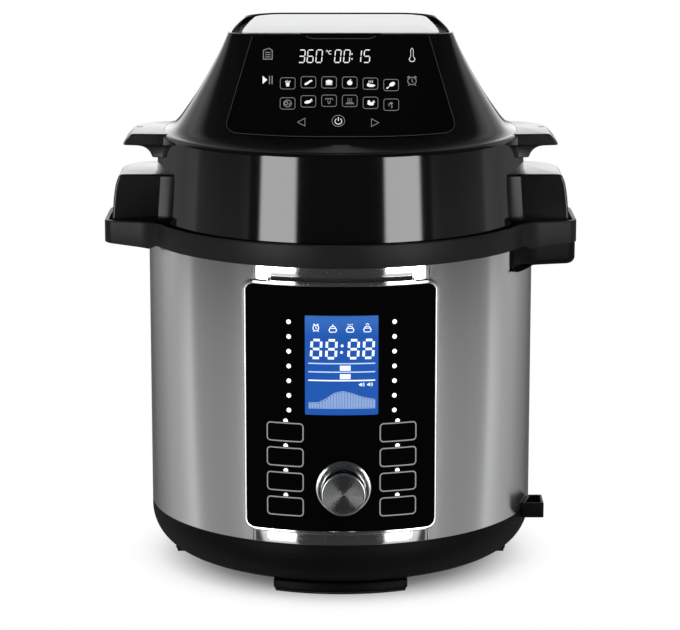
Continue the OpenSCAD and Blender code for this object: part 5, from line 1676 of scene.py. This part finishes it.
    def on_panel(self, flat: Array) -> Array:
        """Lays points (x, z) on the touch panel's face."""
        t = (flat[:, 1] - self.shape.z0) / self.shape.height
        y = self.shape.front_y(t, flat[:, 0], -self.panel_seat) - self.panel_t - 0.05
        return coords(flat[:, 0], y, flat[:, 1])

    def notch(self) -> None:
        """The dark finger notch in the middle of the lip's front: a strip that follows the lip."""
        s = self.shape
        top = s.z0 + s.height - 0.02
        turn = np.radians(np.linspace(0, 90, 5))
        e = self.lip
        z = np.concatenate([np.linspace(self.notch_z0, top - e, 4), top - e + e * np.sin(turn[1:]),
                            [top - 0.6]])
        inset = np.concatenate([np.zeros(4), e - e * np.cos(turn[1:]), [self.wall]])
        t = np.minimum((z - s.z0) / s.height, 1.0)
        x = np.linspace(self.notch_x0, self.notch_x1, 40)[None]
        y = s.front_y(t[:, None], 0 * x, 0.0) + inset[:, None] - 0.06
        grid = coords(x + 0 * y, y, z[:, None] + 0 * y)
        settle(grid_piece("lip_notch", grid), "lid", Finishes.panel)


# The twelve food signs, each a row of strokes about its middle: fill (corners), line (points,
# width), blob (x, z, half-width, half-height, turn) or curve (x, z, radius, start, end, width).
FOODS: tuple[tuple[tuple, ...], ...] = (
    # cup of chips
    (("fill", [(-0.9, -2.4), (0.9, -2.4), (1.3, 0.6), (-1.3, 0.6)]),
     *(("line", [(dx, 0.9), (dx * 1.2, top)])
       for dx, top in ((-1.3, 1.9), (-0.4, 2.3), (0.5, 1.8), (1.3, 2.1)))),
    # sausages
    (("blob", -1.0, -0.9, 2.0, 0.9, 35), ("blob", 1.0, 0.6, 1.8, 0.8, 35),
     ("line", [(1.6, 1.6), (2.8, 0.8)], 0.4)),
    # bun
    (("blob", 0.0, 0.6, 2.3, 1.4), ("line", [(-2.3, -0.9), (2.3, -0.9)], 0.45),
     ("line", [(-2.0, -1.8), (2.0, -1.8)], 0.45)),
    # fruit
    (("blob", 0.0, -0.2, 1.8, 1.9), ("line", [(-0.2, 1.6), (0.9, 2.5)])),
    # steaming dish
    (("blob", 0.4, -1.5, 2.8, 1.1), ("blob", -1.4, -0.6, 1.0, 0.9),
     *(("line", [(dx, 0.6), (dx - 0.3, 1.5), (dx, 2.5)], 0.35) for dx in (-0.8, 0.4, 1.6))),
    # drumstick
    (("blob", 0.7, 0.7, 2.2, 1.5, 40), ("line", [(-1.0, -1.0), (-2.6, -2.3)], 0.45),
     ("curve", -2.6, -2.4, 0.5, 0, 360, 0.3)),
    # steak
    (("curve", 0.0, 0.0, 2.6, 0, 360), ("curve", -1.0, 0.2, 1.2, 0, 360),
     ("line", [(0.8, -1.2), (2.2, 0.4)])),
    # prawn
    (("blob", -0.4, -0.5, 2.3, 1.2, 15), ("line", [(0.6, 0.2), (2.4, 1.9)], 0.6),
     ("line", [(1.2, -0.2), (2.8, 0.5)])),
    # mushroom
    (*(("curve", dx, 0.9, 0.9, -20, 200, 0.4) for dx in (-1.6, 0.0, 1.6)),
     ("line", [(-1.0, 0.2), (-0.4, -2.2), (0.4, -2.2), (1.0, 0.2)], 0.4)),
    # hot plate
    (("line", [(-2.9, -2.2), (2.9, -2.2)]), ("line", [(-2.1, -1.2), (2.1, -1.2)]),
     *(("line", [(dx, -0.3), (dx - 0.35, 0.8), (dx + 0.1, 2.2)], 0.35) for dx in (-1.1, 0.1, 1.3))),
    # poultry
    (("blob", 0.0, -0.8, 2.3, 1.2, -10), ("blob", -1.1, 0.9, 0.9, 1.1),
     ("line", [(0.9, 0.0), (2.5, 1.7)], 0.6), ("line", [(1.5, -0.6), (2.9, 0.7)])),
    # herb
    (("blob", 0.0, 1.0, 1.1, 1.0), ("curve", -0.9, 0.0, 1.0, 60, 260, 0.4),
     ("line", [(0.4, -0.2), (0.0, -2.6), (1.0, -1.2)], 0.4)),
)


@dataclass
class TouchArt:
    """The touch panel's print, in millimetres across and up."""

    middle: float = -0.8
    pitch: float = 14.1
    upper_z: float = 356.8
    lower_z: float = 344.8
    squash: float = 0.8
    drops: tuple[tuple[float, ...], ...] = ((-0.2, 0.5, 0.4, 0.3, -0.4, -1.3),
                                            (-0.9, 0.4, 0.8, 0.7, -0.5, -1.7))
    dim: tuple[int, ...] = (6, 8, 9, 11)

    def sheets(self, lid: "Lid") -> list[tuple[str, Artwork, Finish]]:
        """The print by tone: digits, pictograms, the bow line, and a painted highlight line along
        the panel's edge.
        """
        bright, grey, edge, bow = Artwork(), Artwork(), Artwork(), Artwork()
        self.digits(bright)
        self.side_signs(grey, bright)
        for row, z in enumerate((self.upper_z, self.lower_z)):
            for k in range(6):
                x, drop = self.middle + (k - 2.5) * self.pitch, self.drops[row][k]
                self.frame(grey, x, z + drop)
                kind = row * 6 + k
                self.dish(grey if kind in self.dim else bright, kind, x, z + drop)
        self.lower_signs(grey, bright)
        # The edge sheet is a painted highlight: a dim glowing line where the panel's rim catches
        # the light.
        self.rim(edge, lid)
        bow.stroke([(-23.8, 387.0), (-21.8, 386.1), (-19.5, 385.4), (19.7, 385.4), (22.0, 386.1),
                    (24.0, 387.0)], 0.5)
        return [("touch_digits", bright, Finishes.print_white),
                ("touch_signs", grey, Finishes.print_grey),
                ("touch_rim_painted_highlight", edge, Finishes.edge_line_and_highlight),
                ("touch_bow_line", bow, Finishes.edge_line_and_highlight)]

    def put(self, x: float, z: float, points: Sequence) -> Array:
        """Points about a centre, the upward direction shortened because the panel leans back."""
        return np.asarray(points, dtype=float) * [1, self.squash] + [x, z]

    def digits(self, art: Artwork) -> None:
        """Temperature on the left and time on the right."""
        z, h = 369.6, 8.7
        for x, lit in ((-29.2, Segments.THREE), (-23.4, Segments.SIX), (-17.4, Segments.ZERO),
                       (-4.6, Segments.ZERO), (1.6, Segments.ZERO), (9.3, Segments.ONE),
                       (15.3, Segments.FIVE)):
            draw_digit(art, x, z, 4.6, h, 0.66, lit, 0.10)
        for dz in (2.6, 5.8):
            art.disc(7.8, z + dz, 0.5)
        art.ring(-9.3, 377.3, 0.5, 0.3)
        art.ring(-7.1, 376.4, 1.15, 0.45, 50, 310, stretch=0.95)

    def frame(self, art: Artwork, x: float, z: float) -> None:
        """The rounded outline of one touch key."""
        art.stroke(self.put(x, z, rounded_rectangle(10.1, 9.0, 1.6, 4)), 0.34, closed=True)

    def side_signs(self, art: Artwork, bright: Artwork) -> None:
        """List and start signs on the left, thermometer and clock on the right."""
        x, z = -49.8, 375.6
        art.stroke(self.put(x, z, [(-3.0, -4.4), (3.0, -4.4), (3.0, 2.6), (0.8, 4.3), (-3.0, 2.8)]),
                   0.6, closed=True)
        for dy in (-2.6, -0.8, 1.0):
            art.stroke(self.put(x, z, [(-1.8, dy), (1.8, dy)]), 0.55)
        x, z = -49.8, 358.8
        bright.fill(self.put(x, z, [(-3.4, -3.2), (-0.2, 0.0), (-3.4, 3.2)]))
        for dx in (1.3, 3.1):
            art.stroke(self.put(x, z, [(dx, -3.4), (dx, 3.2)]), 0.7)
        x, z = 48.9, 375.2
        tube = [(-0.9, -2.2), (-0.9, 3.6), (-0.3, 4.8), (0.3, 4.8), (0.9, 3.6), (0.9, -2.2)]
        bright.stroke(self.put(x, z, tube), 0.3)
        bright.ring(x, z - 3.2, 1.9, 0.45, -235, 55, stretch=self.squash)
        x, z = 48.7, 358.3
        art.ring(x, z - 0.2, 2.9, 0.5, stretch=self.squash)
        art.stroke(self.put(x, z, [(0, 1.6), (0, -0.6), (1.0, -1.1)]), 0.45)
        for s in (-1, 1):
            art.ring(x, z - 0.2, 4.0, 0.7, 90 + s * 24, 90 + s * 52, stretch=self.squash)
            art.stroke(self.put(x, z, [(s * 1.9, -3.0), (s * 2.6, -4.0)]), 0.5)

    def lower_signs(self, art: Artwork, bright: Artwork) -> None:
        """Two arrowheads and the on-off sign in its ring."""
        art.stroke(self.put(-26.6, 332.2, [(2.4, -3.0), (-2.6, 0.0), (2.4, 3.0)]), 0.36,
                   closed=True)
        art.stroke(self.put(23.3, 331.9, [(-2.4, -3.0), (2.6, 0.0), (-2.4, 3.0)]), 0.36,
                   closed=True)
        x, z = -1.5, 333.0
        art.ring(x, z, 4.3, 0.36, stretch=self.squash)
        bright.ring(x, z - 0.2, 2.3, 0.42, 125, 415, stretch=self.squash)
        bright.stroke(self.put(x, z, [(0, 0.0), (0, 2.9)]), 0.5)

    def rim(self, art: Artwork, lid: "Lid") -> None:
        """Painted highlight: a thin glowing grey line just inside the panel's edge, down, along the
        foot and up again, where the rim's rounding catches the light.
        """
        t = lid.panel_t0 + (lid.panel_t1 - lid.panel_t0) * np.concatenate([
            np.linspace(0.995, 0.1, 60), 0.1 * (1 - np.sin(np.radians(np.linspace(4, 86, 18))))])
        z = lid.shape.at(t)
        left = coords(-lid.half_width(t, 0.45), z)
        art.stroke(np.concatenate([left, (left * [-1, 1])[::-1]]), 0.34)

    def dish(self, art: Artwork, kind: int, x: float, z: float) -> None:
        """A plain sign for one of the twelve kinds of food.

        Args:
            art: Where it is drawn.
            kind: Number of the sign, 0 to 11.
            x: Its middle.
            z: Its middle.
        """
        def shape(points: Sequence) -> None:
            """A filled shape about the sign's middle."""
            art.fill(self.put(x, z, points))

        def line(points: Sequence, width: float = 0.5) -> None:
            """A line about the sign's middle."""
            art.stroke(self.put(x, z, points), width)

        def blob(dx: float, dz: float, across: float, up: float, turn: float = 0.0) -> None:
            """A filled oval about the sign's middle, turned anticlockwise by some degrees."""
            oval = arc(0, 0, 1, 0, 360, 20)[:-1] * [across, up]
            c, w = math.cos(math.radians(turn)), math.sin(math.radians(turn))
            art.fill(self.put(x, z, oval @ np.array([[c, w], [-w, c]]) + [dx, dz]))

        def curve(dx: float, dz: float, r: float, start: float, end: float,
                  width: float = 0.5) -> None:
            """An arc about the sign's middle."""
            art.ring(x + dx, z + dz * self.squash, r, width, start, end, stretch=self.squash)

        for part in FOODS[kind]:
            {"fill": shape, "line": line, "blob": blob, "curve": curve}[part[0]](*part[1:])


@dataclass
class LowerParts:
    """Lower shell, feet, holders, rear cup and inlet."""

    edges: tuple[tuple[str, str, str, float], ...] = (
        ("feet", "foot_mouldings", "base", 1.6),
        ("foot_pads", "foot_pad_mouldings", "base", 0.4),
        ("spoon_holder", "spoon_holder_moulding", "base", 0.6),
        ("cup_rails", "cup_rail_moulding", "base", 0.6),
        ("condensate_cup", "condensate_cup_moulding", "cup", 0.5),
        ("power_inlet", "power_inlet_moulding", "base", 0.4),
    )
    sharp: float = 40.0

    def build(self) -> None:
        """Rounds the mouldings' edges and dresses the lower shell."""
        dress_node("base_shell", Finishes.shell)
        for node, name, body, width in self.edges:
            slot, finish = "black_plastic", Finishes.shell
            if node == "foot_pads":
                slot, finish = "rubber_black", Finishes.rubber
            settle(soft_copy(node, name, width, 3, self.sharp), body, finish, [node])


@dataclass
class Inside:
    """Solids that show only when the lid or the pot is out, or from below."""

    finishes: tuple[tuple[Finish, str], ...] = (
        (Finishes.tin, "bottom_cover pot_liner heater_posts lid_chamber heat_shield lid_bracket"),
        (Finishes.rod, "cover_screws encoder encoder_shaft guard_grille rotor_shaft"),
        (Finishes.cast, "heater_plate sensor_button"),
        (Finishes.natural, "sensor_guide cooling_fan"),
        (Finishes.parts, "pressure_switch tact_switches lid_socket"),
        (Finishes.board, "power_board control_board lid_board"),
        (Finishes.brass, "plug_pins"),
        (Finishes.heated, "heating_element fan_motor hot_fan"),
    )
    pot_r: float = 110.0
    pot_wall: float = 1.2
    pot_base: float = 2.5
    pot_round: float = 9.0
    wire: float = 0.45
    turns: float = 6.0
    flat_turns: float = 0.5
    pressed: float = 0.8

    def build(self) -> None:
        """Dresses the inside and makes the pot and the spring."""
        for finish, nodes in self.finishes:
            for node in nodes.split():
                dress_node(node, finish)
        self.pot()
        self.spring()

    def pot(self) -> None:
        """The drawn pot: one wall with a rounded bottom and a rolled flange."""
        lo, hi = node_box("inner_pot")
        z0, z1, flange = lo[2], hi[2], hi[0]
        r, c = self.pot_r, self.pot_round
        outer = np.concatenate([[[0, z0]], arc(r - c, z0 + c, c, -90, 0, 8), [[r, z1 - 2.2]],
                                arc(r + 0.7, z1 - 2.2, 0.7, 180, 90, 3),
                                arc(flange - 0.75, z1 - 0.75, 0.75, -90, 90, 6),
                                arc(r + 0.4, z1 - 1.6, 1.6, 90, 180, 4)])
        c, floor = c - 1, z0 + self.pot_base
        inner = np.concatenate([arc(r - self.pot_wall - c, floor + c, c, 0, -90, 8), [[0, floor]]])
        profile = np.concatenate([outer, inner])
        pot = grid_piece("pot_drawn", lathe(profile, 160), close_cols=True,
                         uv=lathe_uv(profile, 160))
        settle(pot, "pot", Finishes.pot, ["inner_pot"])

    def spring(self) -> None:
        """The sensor's coil spring: a round wire along a helix whose ends lie flat for half a turn.

        The wire's circle stands upright, and shrinks to a point at both ends.
        """
        lo, hi = node_box("sensor_spring")
        wire, turns, flat = self.wire, self.turns, self.flat_turns
        turn = np.linspace(0, turns, 145)
        share = np.clip((turn - flat) / (turns - 2 * flat), 0, 1)
        height = lo[2] + wire + (hi[2] - lo[2] - 2 * wire) * share
        size = np.full(turn.size, wire)
        size[[0, -1]] = 0.0
        round_wire = -np.linspace(0, 2 * np.pi, 9)[:-1]
        r = hi[0] - wire + size[:, None] * np.cos(round_wire)
        z = height[:, None] + size[:, None] * np.sin(round_wire)
        grid = polar(r, 2 * np.pi * turn[:, None], z)
        spring = grid_piece("sensor_coil_spring", grid, close_cols=True)
        settle(spring, "base", Finishes.rod, ["sensor_spring"])
        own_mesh(spring)


# ---------- studio ----------


@dataclass
class Studio:
    """Floor, surroundings, lamps and camera."""

    camera_at: tuple[float, float, float] = (-0.0004, -2.0, 0.590)
    tilt: float = 0.2042
    lens: float = 148.6
    sensor: float = 36.0
    floor_half: float = 12.0
    fade_from: float = 0.08
    fade_to: float = 0.162
    diffuse_level: float = 0.80
    lamp_power: float = 16.0
    lamp_size: float = 1.6
    lamp_at: tuple[float, float, float] = (0.0, -0.25, 1.9)
    low: Stops = ((0, .05), (54, .07), (56.5, .12), (58.5, .62), (62, .46), (66, .385), (75, .35),
                  (90, .36), (97, .41), (101, .82), (107, .68), (114, .52), (127, .43), (135, .33),
                  (150, .2), (157, .12), (180, .12))
    high: Stops = ((0, .05), (60, .06), (95, .06), (108, .1), (118, .6), (127, .8), (138, .6),
                   (150, .9), (163, 2.2), (180, 2.6))
    sky: Stops = ((0, .03), (60, .03), (100, .1), (140, .45), (180, .8))
    box: Stops = ((0, 0), (26, 0), (28, 1), (48.8, 1), (50.8, 0), (180, 0))
    box_fall: Stops = ((0.0, 0.0), (.30, 1.0), (.365, 3.0), (.395, 4.2), (.41, 6.8), (.425, 8.6),
                       (.45, 10.5), (.60, 10.5), (.66, 2.0), (.70, 0.0), (1.0, 0.0))
    to_high: Stops = ((0, 0), (.465, 0), (.49, .6), (.54, 1), (1, 1))
    to_sky: Stops = ((0, 0), (.70, 0), (.80, 1), (1, 1))

    def build(self) -> None:
        """Sets up everything round the cooker."""
        self.camera()
        self.floor()
        self.surroundings()
        self.lamps()
        bpy.context.scene.view_settings.view_transform = "Standard"

    def camera(self) -> None:
        """The camera, a little above and in front."""
        data = bpy.data.cameras.new("camera")
        data.lens, data.sensor_width = self.lens, self.sensor
        view = placed("camera", data)
        view.location = self.camera_at
        view.rotation_euler = (math.pi / 2 - self.tilt, 0.0, 0.0)
        bpy.context.scene.camera = view

    def floor(self) -> None:
        """A wide pale floor that takes the shadow near the cooker and fades to plain white."""
        steps = self.floor_half * np.linspace(-1, 1, 25) ** 3
        x, y = np.meshgrid(steps, steps)
        grid = coords(x, y, 0 * x) / MM
        floor = grid_piece("floor", grid)
        shader = Shader("pale_floor")
        shader.set(Base_Color=(0.96, 0.96, 0.96), Roughness=1.0, Specular_IOR_Level=0.0)
        distance = shader.node("VectorMath")
        distance.operation = "LENGTH"
        shader.link(shader.place.outputs["Object"], distance.inputs[0])
        fade = shader.node("MapRange", From_Min=self.fade_from, From_Max=self.fade_to)
        fade.interpolation_type = "SMOOTHSTEP"
        shader.link(distance.outputs["Value"], fade.inputs["Value"])
        seen = shader.node("LightPath").outputs["Is Camera Ray"]
        plain, mix = shader.node("Emission", Strength=1.0), shader.node("MixShader")
        shader.link(shader.maths("MULTIPLY", fade.outputs[0], seen), mix.inputs[0])
        shader.link(shader.surface.outputs[0], mix.inputs[1])
        shader.link(plain.outputs[0], mix.inputs[2])
        shader.link(mix.outputs[0], shader.output.inputs["Surface"])
        floor.data.materials.append(shader.material)
        floor.visible_glossy = False

    def surroundings(self) -> None:
        """White behind, dim in front, and two tall soft boxes, by direction.

        The level seen in a gloss depends on the angle from the front and on the
        height: one scale near the horizon and below, one above, one for the sky.
        """
        world = bpy.data.worlds.new("studio")
        bpy.context.scene.world = world
        nodes = Nodes(world)
        world.cycles.sampling_method = "NONE"
        maths = nodes.maths
        split = nodes.node("SeparateXYZ")
        nodes.link(nodes.node("TexCoord").outputs["Generated"], split.inputs[0])

        def scale_of(source: Socket, stops: Stops, span: float, top: float) -> Socket:
            """Levels up to top between stops over 0 to span degrees or units."""
            ramp = [(where / span, (level / top,) * 3) for where, level in stops]
            return maths("MULTIPLY", nodes.shades(source, ramp), top)

        def blend(first: Socket | float, second: Socket | float, share: Socket) -> Socket:
            """The first level at share 0 and the second at share 1."""
            return maths("ADD", maths("MULTIPLY", first, maths("SUBTRACT", 1.0, share)),
                         maths("MULTIPLY", second, share))

        aside = maths("ABSOLUTE", split.outputs["X"])
        ahead = maths("MULTIPLY", split.outputs["Y"], -1.0)
        around = maths("DIVIDE", maths("ARCTAN2", aside, ahead), math.pi)
        height = maths("MULTIPLY_ADD", split.outputs["Z"], 0.5, 0.5)
        box = maths("MULTIPLY", scale_of(around, self.box, 180, 1.0),
                    scale_of(height, self.box_fall, 1.0, 12.0))
        lower = maths("ADD", scale_of(around, self.low, 180, 2.0), box)
        upper = maths("ADD", scale_of(around, self.high, 180, 3.0), box)
        level = blend(lower, upper, scale_of(height, self.to_high, 1.0, 1.0))
        level = blend(level, scale_of(around, self.sky, 180, 2.0),
                      scale_of(height, self.to_sky, 1.0, 1.0))
        path = nodes.node("LightPath")
        gloss = maths("MAXIMUM", path.outputs["Is Glossy Ray"], path.outputs["Is Transmission Ray"])
        mixed = blend(self.diffuse_level, level, gloss)
        strength = blend(mixed, 1.0, path.outputs["Is Camera Ray"])
        back, out = nodes.node("Background"), nodes.node("OutputWorld")
        nodes.link(strength, back.inputs["Strength"])
        nodes.link(back.outputs[0], out.inputs["Surface"])

    def lamps(self) -> None:
        """One wide soft lamp overhead, left out of the reflections."""
        data = bpy.data.lights.new("overhead", "AREA")
        data.shape, data.size, data.energy = "DISK", self.lamp_size, self.lamp_power
        lamp = placed("overhead", data)
        lamp.location = self.lamp_at
        lamp.visible_glossy = False
        lamp.visible_camera = False


def main() -> None:
    """Builds every sub-assembly in order."""
    logging.basicConfig(level=logging.INFO, format="%(name)s: %(message)s")
    for part in (SteelBody(), UpperRing(), ControlPanel(), Knob(), LowerParts(), Inside(), Lid(),
                 Studio()):
        part.build()
        LOG.info("%s is done", type(part).__name__)


if __name__ == "__main__":
    main()
